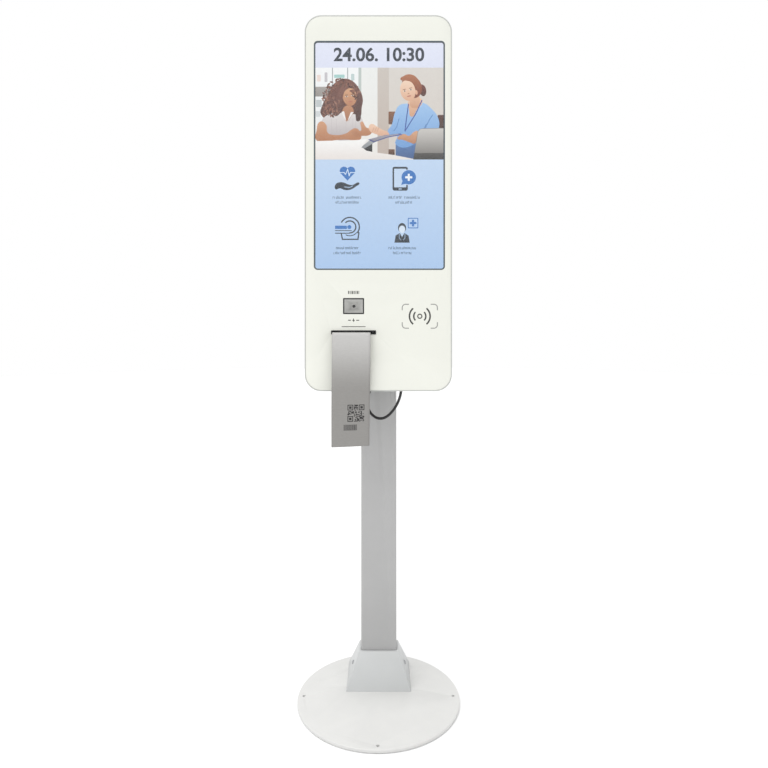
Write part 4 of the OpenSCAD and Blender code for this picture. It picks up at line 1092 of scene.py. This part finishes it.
def draw_nurse(screen):
    """The person on the right: tied auburn hair, blue tunic, a lanyard and a tablet."""
    tunic, tunic_light = 0x6E9FD9, 0xA3C9F2
    screen.block(34, -8, 76, 28, 0x36568A, 0x557CB2)
    screen.shape(
        [(17, 48), (26, 66), (33, 92), (42, 106), (60, 110), (90, 112), (112, 96), (122, 82),
         (125, 60), (118, 50), (80, 50), (74, 26), (34, 24), (36, 44), (27, 40)],
        tunic, tunic_light,
    )
    screen.shape([(60, 112), (62, 98), (67, 82), (78, 96), (90, 116), (76, 124)],
                 0xD7A17F, 0xEFC7A9)
    screen.block(64, 100, 85, 128, 0xD29C7B, 0xE9BD9F, 8)
    screen.oval(90.5, 137.5, 7.5, 12.5, 0x4A1E14, 0x74372A, 12)
    screen.oval(68, 145, 20, 25, 0x7E3D28, 0xA8613F, 28)
    draw_face(screen, 59.5, 137, 22, 0xE3AE8D, 0xF8D9C1, 13, 0x8A5438)
    screen.oval(77.5, 133, 2.6, 5, 0xE0A888, 0xEDBC9E, 10)
    screen.shape(
        [(44, 160), (52, 168), (62, 171), (76, 166), (85, 150), (85, 138), (80, 138),
         (76, 146), (66, 155), (54, 158)],
        0x8C4A2F, 0xB5714A,
    )
    lanyard = 0x2F4BA0
    screen.stroke([(61, 108), (57.5, 84), (53.7, 54)], 2.0, lanyard)
    screen.stroke([(89, 116), (76, 88), (53.7, 52)], 2.0, lanyard)
    for points in (
        [(96, 58), (106, 78), (112, 86)], [(92, 54), (98, 66)], [(36, 60), (41, 78)],
        [(30, 52), (37, 62)],
    ):
        screen.stroke(points, 1.4, 0x5482BE)
    arm_low, arm_high = 0xB67A57, 0xDDAB88
    screen.shape(
        [(80, 52), (74, 26), (64, 28), (48, 34), (38, 36), (42, 42), (52, 46), (62, 42),
         (72, 50)],
        arm_low, arm_high,
    )
    screen.shape(
        [(18, 50), (8, 54), (-6, 62), (-16, 67), (-22, 62), (-20, 52), (-8, 46), (6, 42),
         (20, 42)],
        0xDDAA8C, 0xF2CDB3,
    )
    for x in (-13, -8, -3):
        screen.block(x - 0.5, 50, x + 0.5, 60, 0xC68E6E, None, 0.4, -24)


def draw_counter(screen):
    """A white counter with a tablet on it, and the lid of a laptop."""
    screen.shape([(-36, 18), (-15, 26), (-15, 8), (-24, 8)], 0x0E1013, 0x24272B, False)
    screen.shape(
        [(-136, 31), (-90, 32), (-50, 33), (-26, 35), (-36, 20), (-37, 16), (-28, 11),
         (-14, 8), (32, 1.4), (79, -8), (-136, -8)],
        0xECE4E0, 0xFDFCFB, False,
    )
    screen.shape([(-38, 17), (-35, 21), (-20, 33), (2, 36), (-12, 27), (-30, 16)],
                 0x8E9296, 0xA9ADB2, False)
    screen.shape([(-24, 34), (-12, 28), (16, 38), (48, 44), (44, 47), (10, 43)],
                 0x3B4380, 0x5059A0, False)
    screen.shape([(-20, 34.5), (-11, 30.5), (16, 40), (42, 45), (38, 46), (8, 42)],
                 0x8B8993, 0xA9A7B0, False)
    screen.shape([(71, -8), (80, 50), (84, 56), (90, 57.5), (136, 58.5), (136, -8)],
                 0x2B2926, 0x8F8B88, False)
    screen.shape([(73.5, 6), (81, 50), (85, 55.5), (91, 56.5), (136, 57.5), (136, 6)],
                 0x85817D, 0xCFCBC7, False)


def draw_heart_icon(screen, x, z):
    """A heart with a pulse line above an open hand."""
    screen.hold()
    for side in (-1, 1):
        screen.oval(x + side * 7.4, z + 22.5, 8.9, 8.9, BLUE)
    screen.release()
    screen.shape([(x - 15.2, z + 18.2), (x, z + 26), (x + 15.2, z + 18.2), (x, z + 2)], BLUE,
                 None, False)
    screen.stroke(
        [(x - 16, z + 19), (x - 7, z + 19), (x - 4, z + 15), (x + 0.5, z + 26),
         (x + 3.5, z + 12), (x + 6, z + 19), (x + 16, z + 19)], 1.7, 0xD5E6F8,
    )
    screen.shape(
        [(x - 25, z - 16), (x - 25, z - 6), (x - 17, z - 1.5), (x - 8, z - 2), (x + 2, z - 6),
         (x + 10, z - 7), (x + 25, z - 3), (x + 18, z - 10), (x + 6, z - 17), (x - 6, z - 17.5),
         (x - 16, z - 14)],
        SLATE,
    )
    screen.stroke([(x - 6, z - 11), (x + 4, z - 12.5), (x + 11, z - 9)], 1.5, 0xAFC8E6)


def draw_phone_icon(screen, x, z):
    """A phone with a round speech bubble that holds a plus."""
    screen.block(x - 22, z - 25, x + 10, z + 25, SLATE, None, 4)
    screen.block(x - 18.7, z - 18, x + 6.7, z + 21, 0xC6DBF5, None, 1)
    screen.block(x - 9.5, z - 22.5, x - 2.5, z - 20.5, ICON_GROUND, None, 1)
    screen.oval(x + 12, z + 3, 17, 16.5, 0xC4DAF5)
    screen.shape([(x - 4, z - 13), (x + 2, z + 4), (x + 12, z - 9)], BLUE, None, False)
    screen.oval(x + 12, z + 3, 15.2, 15, BLUE)
    screen.block(x + 9.8, z - 4.5, x + 14.2, z + 10.5, 0xF2F7FD, None, 1)
    screen.block(x + 4.5, z + 0.8, x + 19.5, z + 5.2, 0xF2F7FD, None, 1)


def draw_ring_icon(screen, x, z):
    """A ring scanner with its table and foot."""
    screen.arc(x, z, 20, 2.7, -40, 153, SLATE)
    screen.arc(x, z, 12.6, 2.7, -95, 137, SLATE)
    screen.arc(x, z, 18.6, 1.8, -118, -38, SLATE)
    screen.stroke([(x - 18, z - 14), (x - 15.5, z - 26), (x + 17, z - 26), (x + 19, z - 12)],
                  2.6, SLATE)
    screen.block(x - 31, z - 4.3, x - 6, z + 2.6, BLUE, None, 1)
    screen.oval(x - 1, z - 0.4, 4.2, 4.2, BLUE)
    screen.block(x - 31, z - 8.6, x + 4, z - 7, SLATE)
    screen.block(x - 31, z - 14.2, x - 1, z - 12.2, SLATE)


def draw_adviser_icon(screen, x, z):
    """A bust with a collar, and a square plus sign."""
    screen.shape(
        [(x - 16, z - 22), (x - 13.5, z - 7), (x - 5, z - 2), (x + 5, z - 2), (x + 13.5, z - 7),
         (x + 16, z - 22)],
        SLATE, None, False,
    )
    screen.shape([(x - 5, z - 1.5), (x, z - 10), (x + 5, z - 1.5)], ICON_GROUND, None, False)
    for side in (-1, 1):
        screen.stroke([(x + side * 6, z - 4), (x + side * 6, z - 12), (x + side * 3, z - 16)],
                      1.2, 0x9DB7D6)
    screen.oval(x, z + 9, 8.4, 10.2, SLATE)
    screen.oval(x, z + 6, 6.4, 7.8, 0xDCE9F9)
    screen.block(x + 12, z + 8, x + 34, z + 30, BLUE, None, 2)
    screen.block(x + 13.8, z + 9.8, x + 32.2, z + 28.2, 0xBAD4F4, None, 1)
    screen.block(x + 20.7, z + 12, x + 25.3, z + 26, BLUE)
    screen.block(x + 16, z + 16.7, x + 30, z + 21.3, BLUE)


def draw_caption(screen, x, z, upper, lower, ticks):
    """Two lines of greeked caption: each word is a row of short upright strokes."""
    ink = 0x3F5872
    screen.hold()
    for words, row in ((upper, z), (lower, z - 10.4)):
        cursor = x - (sum(words) + 4 * (len(words) - 1)) / 2
        for width in words:
            count = max(round(width / 3.3), 1)
            for place in range(count):
                left = cursor + place * width / count
                tall = ticks.choice((0, 0, 0, 1.6))
                screen.block(left, row - 2.2, left + 0.8, row + 2.2 + tall, ink)
                if ticks.random() < 0.75:
                    level = ticks.choice((-2.2, 1.4, 1.4))
                    screen.block(left, row + level, left + 2.6, row + level + 0.8, ink)
                if ticks.random() < 0.6:
                    screen.block(left + 1.8, row - 2.2, left + 2.6, row + 2.2, ink)
            cursor += width + 4
    screen.release()


class KIOSK_OT_screen(KioskOperator):
    """The picture on the display, drawn in flat lit shapes"""

    bl_idname = "kiosk.screen"
    bl_label = "Screen picture"

    def execute(self, context):
        screen = Screen()
        screen.block(-136, 184.5, 136, 239, 0xE3E7FA, 0xE9ECFD)
        screen.figures("24.06. 10:30", -1, 211, 27, SLATE)
        draw_room(screen)
        draw_visitor(screen)
        draw_nurse(screen)
        draw_counter(screen)
        screen.block(-136, -239, 136, -7.7, 0xADCBF1, 0xC4DAF6)
        draw_heart_icon(screen, -67, -54)
        draw_phone_icon(screen, 49.5, -48)
        draw_ring_icon(screen, -62, -149)
        draw_adviser_icon(screen, 47.5, -160)
        ticks = random.Random(5)
        draw_caption(screen, -67.5, -87.6, (24, 33), (49,), ticks)
        draw_caption(screen, 52, -87.6, (29, 33), (37,), ticks)
        draw_caption(screen, -67, -193.6, (48,), (58,), ticks)
        draw_caption(screen, 48, -193.6, (58,), (39,), ticks)
        face_forward(screen.bm)
        finish_piece("screen_picture", screen.bm, [MATERIALS["lit_screen"]], "door")
        return {"FINISHED"}


class KIOSK_OT_printing(KioskOperator):
    """Signs printed on the glass: card reader, scanner and receipt slot"""

    bl_idname = "kiosk.printing"
    bl_label = "Printing"

    def execute(self, context):
        sizes = context.scene.kiosk_sizes
        self.y = GLASS_FRONT - PRINT_LIFT
        bm = bmesh.new()
        x, z = READER_CENTRE.x + 10.4 * MM, READER_CENTRE.z + 8.4 * MM
        dark = self.card_sign(bm, x, z)
        self.mark(dark, 0)
        pale = self.card_outline(bm, x, z, sizes.card_width, sizes.card_height)
        self.mark(pale, 1)
        slot_x = SLOT_CENTRE.x
        self.mark(rounded_face(bm, slot_x, SLOT_CENTRE.z + 12 * MM, 50 * MM, 1.5 * MM,
                               0.5 * MM, self.y), 0)
        self.scan_sign(bm, slot_x, SCANNER_CENTRE.z + 28.5 * MM)
        self.slip_sign(bm, slot_x, SLOT_CENTRE.z + 25.4 * MM)
        face_forward(bm)
        finish_piece("printed_signs", bm, [MATERIALS["ink"], MATERIALS["pale_ink"]], "door")
        return {"FINISHED"}

    def mark(self, verts, index):
        for vert in verts:
            for face in vert.link_faces:
                face.material_index = index

    def card_sign(self, bm, x, z):
        """A ring between two pairs of arcs, for contactless cards."""
        verts = arc_band(bm, x, z, 4.3 * MM, 2.4 * MM, 0, 360, self.y)
        for middle in (0, 180):
            for radius, stroke, half in ((12.6, 3.2, 44), (21.6, 3.4, 50)):
                verts += arc_band(bm, x, z, radius * MM, stroke * MM, middle - half,
                                  middle + half, self.y)
        return verts

    def card_outline(self, bm, x, z, width, height):
        """The four rounded corners of a card."""
        radius, stroke, leg_x, leg_z = 7 * MM, 1.9 * MM, 7 * MM, 5.5 * MM
        verts = []
        for side_x, side_z, start in ((1, 1, 0), (-1, 1, 90), (-1, -1, 180), (1, -1, 270)):
            cx = x + side_x * (width / 2 - radius)
            cz = z + side_z * (height / 2 - radius)
            verts += arc_band(bm, cx, cz, radius, stroke, start, start + 90, self.y, steps=8)
            verts += rounded_face(bm, cx - side_x * leg_x / 2, cz + side_z * radius, leg_x,
                                  stroke, 0, self.y)
            verts += rounded_face(bm, cx + side_x * radius, cz - side_z * leg_z / 2, stroke,
                                  leg_z, 0, self.y)
        return verts

    def scan_sign(self, bm, x, z):
        """A short row of bars, as on a code to scan."""
        cursor = x - 11.5 * MM
        for width in (2.0, 0.9, 1.4, 2.2, 0.9, 1.9, 1.0, 2.0, 1.2):
            verts = rounded_face(bm, cursor + width * MM / 2, z, width * MM, 6.6 * MM,
                                 0, self.y)
            self.mark(verts, 0)
            cursor += (width + 1.2) * MM

    def slip_sign(self, bm, x, z):
        """An arrow that points down to the slot, between two short lines."""
        verts = rounded_face(bm, x, z + 1.8 * MM, 1.8 * MM, 3.4 * MM, 0, self.y)
        tip = [(x - 3.2 * MM, z + 0.4 * MM), (x + 3.2 * MM, z + 0.4 * MM), (x, z - 3.4 * MM)]
        verts += outline(bm, tip, self.y, smooth=False)
        for side in (-1, 1):
            verts += rounded_face(bm, x + side * 8.6 * MM, z, 6.4 * MM, 1.8 * MM, 0.6 * MM,
                                  self.y)
        self.mark(verts, 0)


class KIOSK_OT_receipt(KioskOperator):
    """The receipt that hangs from the slot, and what is printed on it"""

    bl_idname = "kiosk.receipt"
    bl_label = "Receipt"

    def execute(self, context):
        self.sizes = context.scene.kiosk_sizes
        self.middle = (RECEIPT_LOW.x + RECEIPT_HIGH.x) / 2
        self.width = RECEIPT_HIGH.x - RECEIPT_LOW.x
        self.bend = 7 * MM
        self.top = RECEIPT_HIGH.z - 0.125 * MM
        self.front = RECEIPT_LOW.y + 0.625 * MM
        self.flat = RECEIPT_HIGH.y - (self.front + self.bend)
        self.drop = self.top - self.bend - RECEIPT_LOW.z
        self.length = self.flat + self.bend * math.pi / 2 + self.drop
        self.make_strip()
        self.make_print()
        return {"FINISHED"}

    def place(self, across, along, lift=0.0):
        """A point of the paper: across its width, along it from the cutter, and off its face."""
        arc = self.bend * math.pi / 2
        if along < self.flat:
            y, z, facing = RECEIPT_HIGH.y - along, self.top, 0.0
        elif along < self.flat + arc:
            facing = (along - self.flat) / self.bend
            y = self.front + self.bend - self.bend * math.sin(facing)
            z = self.top - self.bend + self.bend * math.cos(facing)
        else:
            y, z = self.front, self.top - self.bend - (along - self.flat - arc)
            facing = math.pi / 2
        hang = min(max((along - self.flat - arc) / self.drop, 0), 1)
        ease = hang * hang * (3 - 2 * hang)
        turn = self.sizes.receipt_twist * ease
        bow = -2.6 * MM * math.sin(math.pi * hang) - 3.0 * MM * ease
        cup = 1.2 * MM * (1 - (2 * across / self.width) ** 2) * ease
        out = bow - cup
        point = Vector((
            self.middle + across * math.cos(turn) - 1.2 * MM * ease,
            y + out + across * math.sin(turn),
            z,
        ))
        normal = Vector((
            math.sin(turn) * math.sin(facing), -math.cos(turn) * math.sin(facing),
            math.cos(facing),
        ))
        return point + normal * lift

    def make_strip(self):
        """The paper as a flat grid that is laid along its way."""
        bm = bmesh.new()
        bmesh.ops.create_grid(bm, x_segments=14, y_segments=90, size=0.5)
        for vert in bm.verts:
            vert.co = self.place(vert.co.x * self.width, (0.5 - vert.co.y) * self.length)
        bmesh.ops.recalc_face_normals(bm, faces=bm.faces)
        if sum(f.normal.y for f in bm.faces) > 0:
            bmesh.ops.reverse_faces(bm, faces=bm.faces)
        strip = finish_piece("receipt_slip", bm, [MATERIALS["till_paper"]], "door",
                             60)
        solid = strip.modifiers.new("thickness", "SOLIDIFY")
        solid.thickness = self.sizes.paper_thickness
        solid.offset = 0
        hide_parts("receipt")

    def make_print(self):
        """A square code made of random cells, and a row of bars."""
        bm = bmesh.new()
        code_along = self.length - (CODE_HEIGHT - RECEIPT_LOW.z)
        side = self.sizes.code_side
        count = self.sizes.code_cells
        pattern = random.Random(self.sizes.code_seed)
        left = CODE_ACROSS - self.middle - side / 2
        self.lay_code(bm, left, code_along - side / 2, side, count, pattern)
        bars = random.Random(self.sizes.code_seed + 1)
        cursor = left - 8 * MM
        while cursor < left + 20 * MM:
            width = bars.choice((0.6, 0.9, 1.4)) * MM
            self.stamp(bm, cursor, code_along + 23.5 * MM, width, 12 * MM)
            cursor += width + bars.choice((0.6, 0.8)) * MM
        if sum(f.normal.y for f in bm.faces) > 0:
            bmesh.ops.reverse_faces(bm, faces=bm.faces)
        finish_piece("receipt_code", bm, [MATERIALS["toner"]], "door")

    def lay_code(self, bm, left, top, side, count, pattern):
        """The square code: a grid without its light cells, laid on the paper."""
        bmesh.ops.create_grid(bm, x_segments=count, y_segments=count, size=side / 2)
        light = []
        for face in bm.faces:
            centre = face.calc_center_median()
            column = int((centre.x / side + 0.5) * count)
            row = int((0.5 - centre.y / side) * count)
            if not self.cell_is_dark(row, column, count, pattern):
                light.append(face)
        bmesh.ops.delete(bm, geom=light, context="FACES")
        lift = self.sizes.paper_thickness / 2 + TONER_LIFT
        for vert in bm.verts:
            across = left + side / 2 + vert.co.x
            vert.co = self.place(across, top + side / 2 - vert.co.y, lift)

    def cell_is_dark(self, row, column, count, pattern):
        """Square targets in three corners, random cells elsewhere."""
        dark = pattern.random() < 0.5
        for far_row, far_column in ((0, 0), (0, 1), (1, 0)):
            r = row - far_row * (count - 7)
            c = column - far_column * (count - 7)
            if -1 <= r <= 7 and -1 <= c <= 7:
                ring = max(abs(r - 3), abs(c - 3))
                return ring in (0, 1, 3)
        return dark

    def stamp(self, bm, across, along, width, height):
        """A small dark rectangle laid on the paper."""
        lift = self.sizes.paper_thickness / 2 + TONER_LIFT
        corners = [(0, 0), (0, 1), (1, 1), (1, 0)]
        bm.faces.new([
            bm.verts.new(self.place(across + i * width, along + j * height, lift))
            for i, j in corners
        ])


class KIOSK_OT_boards(KioskOperator):
    """Circuit boards and the power supply, with the parts that stand on them"""

    bl_idname = "kiosk.boards"
    bl_label = "Boards"

    def execute(self, context):
        main_low, main_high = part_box("mainboard")
        board_face = main_high.y - 7.6 * MM
        replace_with_copy(
            "mainboard", "computer_board", "stand",
            ["circuit_board", "black_plastic", "grey_plastic", "zinc_screws"],
            choose=lambda c: (
                3 if c.y > board_face + BOARD_THICKNESS + SKIN
                else 0 if c.y > board_face - SKIN
                else 2 if c.z < main_low.z + 20 * MM else 1
            ),
        )
        panel_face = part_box("display_board")[0].y + 4.6 * MM
        replace_with_copy(
            "display_board", "driver_board", "door",
            ["circuit_board", "black_plastic", "zinc_screws"],
            choose=lambda c: (
                1 if c.y > panel_face + SKIN
                else 0 if c.y > panel_face - BOARD_THICKNESS - SKIN else 2
            ),
        )
        reader_face = READER_LOW.y + BOARD_THICKNESS
        replace_with_copy(
            "reader_board", "antenna_board", "door",
            ["circuit_board", "black_plastic"],
            choose=lambda c: 1 if c.y > reader_face + SKIN else 0,
        )
        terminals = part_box("power_supply")[1].x - 8.05 * MM
        replace_with_copy(
            "power_supply", "supply_box", "stand",
            ["bare_steel", "black_plastic"], 0.3 * MM,
            choose=lambda c: 1 if c.x > terminals else 0,
        )
        return {"FINISHED"}


class KIOSK_OT_rollers(KioskOperator):
    """The paper roll and the platen, with the finish of each of their parts"""

    bl_idname = "kiosk.rollers"
    bl_label = "Rollers"

    def execute(self, context):
        replace_with_copy(
            "paper_roll", "till_roll", "roll",
            ["roll_paper", "cardboard", "grey_plastic"],
            choose=lambda c: self.roll_layer(self.distance(c, ROLL_CENTRE)),
        )
        gear_end = PLATEN_LOW.x + GEAR_END
        replace_with_copy(
            "platen_roller", "platen", "platen",
            ["platen_rubber", "blade_steel", "white_nylon"],
            choose=lambda c: self.platen_layer(c, gear_end),
        )
        return {"FINISHED"}

    def distance(self, point, centre):
        """How far a point is from the axle that runs along X through a centre."""
        return math.hypot(point.y - centre.y, point.z - centre.z)

    def roll_layer(self, radius):
        """Paper outside its core, cardboard for the core, plastic for the spindle."""
        return 0 if radius > CORE_RADIUS else 1 if radius > CORE_BORE else 2

    def platen_layer(self, point, gear_end):
        """Steel in the middle, nylon at the gear's end, rubber elsewhere."""
        if self.distance(point, PLATEN_CENTRE) < SHAFT_RADIUS:
            return 1
        return 2 if point.x < gear_end else 0


class KIOSK_PT_panel(bpy.types.Panel):
    """The kiosk's pieces"""

    bl_label = "Kiosk"
    bl_idname = "KIOSK_PT_panel"
    bl_space_type = "VIEW_3D"
    bl_region_type = "UI"
    bl_category = "Kiosk"

    def draw(self, context):
        for operator in OPERATORS:
            self.layout.operator(operator.bl_idname)
        for group in (context.scene.kiosk_sizes, context.scene.kiosk_colours,
                      context.scene.kiosk_stage):
            for name in group.bl_rna.properties.keys():
                if name not in ("rna_type", "name"):
                    self.layout.prop(group, name)


OPERATORS = (
    KIOSK_OT_stage, KIOSK_OT_cable, KIOSK_OT_finishes, KIOSK_OT_stand, KIOSK_OT_head,
    KIOSK_OT_glass, KIOSK_OT_screen, KIOSK_OT_printing, KIOSK_OT_receipt, KIOSK_OT_boards,
    KIOSK_OT_rollers,
)
CLASSES = (KioskSizes, KioskColours, KioskStage, *OPERATORS, KIOSK_PT_panel)


def register():
    for cls in CLASSES:
        bpy.utils.register_class(cls)
    bpy.types.Scene.kiosk_sizes = PointerProperty(type=KioskSizes)
    bpy.types.Scene.kiosk_colours = PointerProperty(type=KioskColours)
    bpy.types.Scene.kiosk_stage = PointerProperty(type=KioskStage)


def unregister():
    del bpy.types.Scene.kiosk_stage
    del bpy.types.Scene.kiosk_colours
    del bpy.types.Scene.kiosk_sizes
    for cls in reversed(CLASSES):
        bpy.utils.unregister_class(cls)


def main():
    register()
    build_materials()
    for operator in OPERATORS:
        getattr(bpy.ops.kiosk, operator.bl_idname.split(".")[1])()


if __name__ == "__main__":
    main()
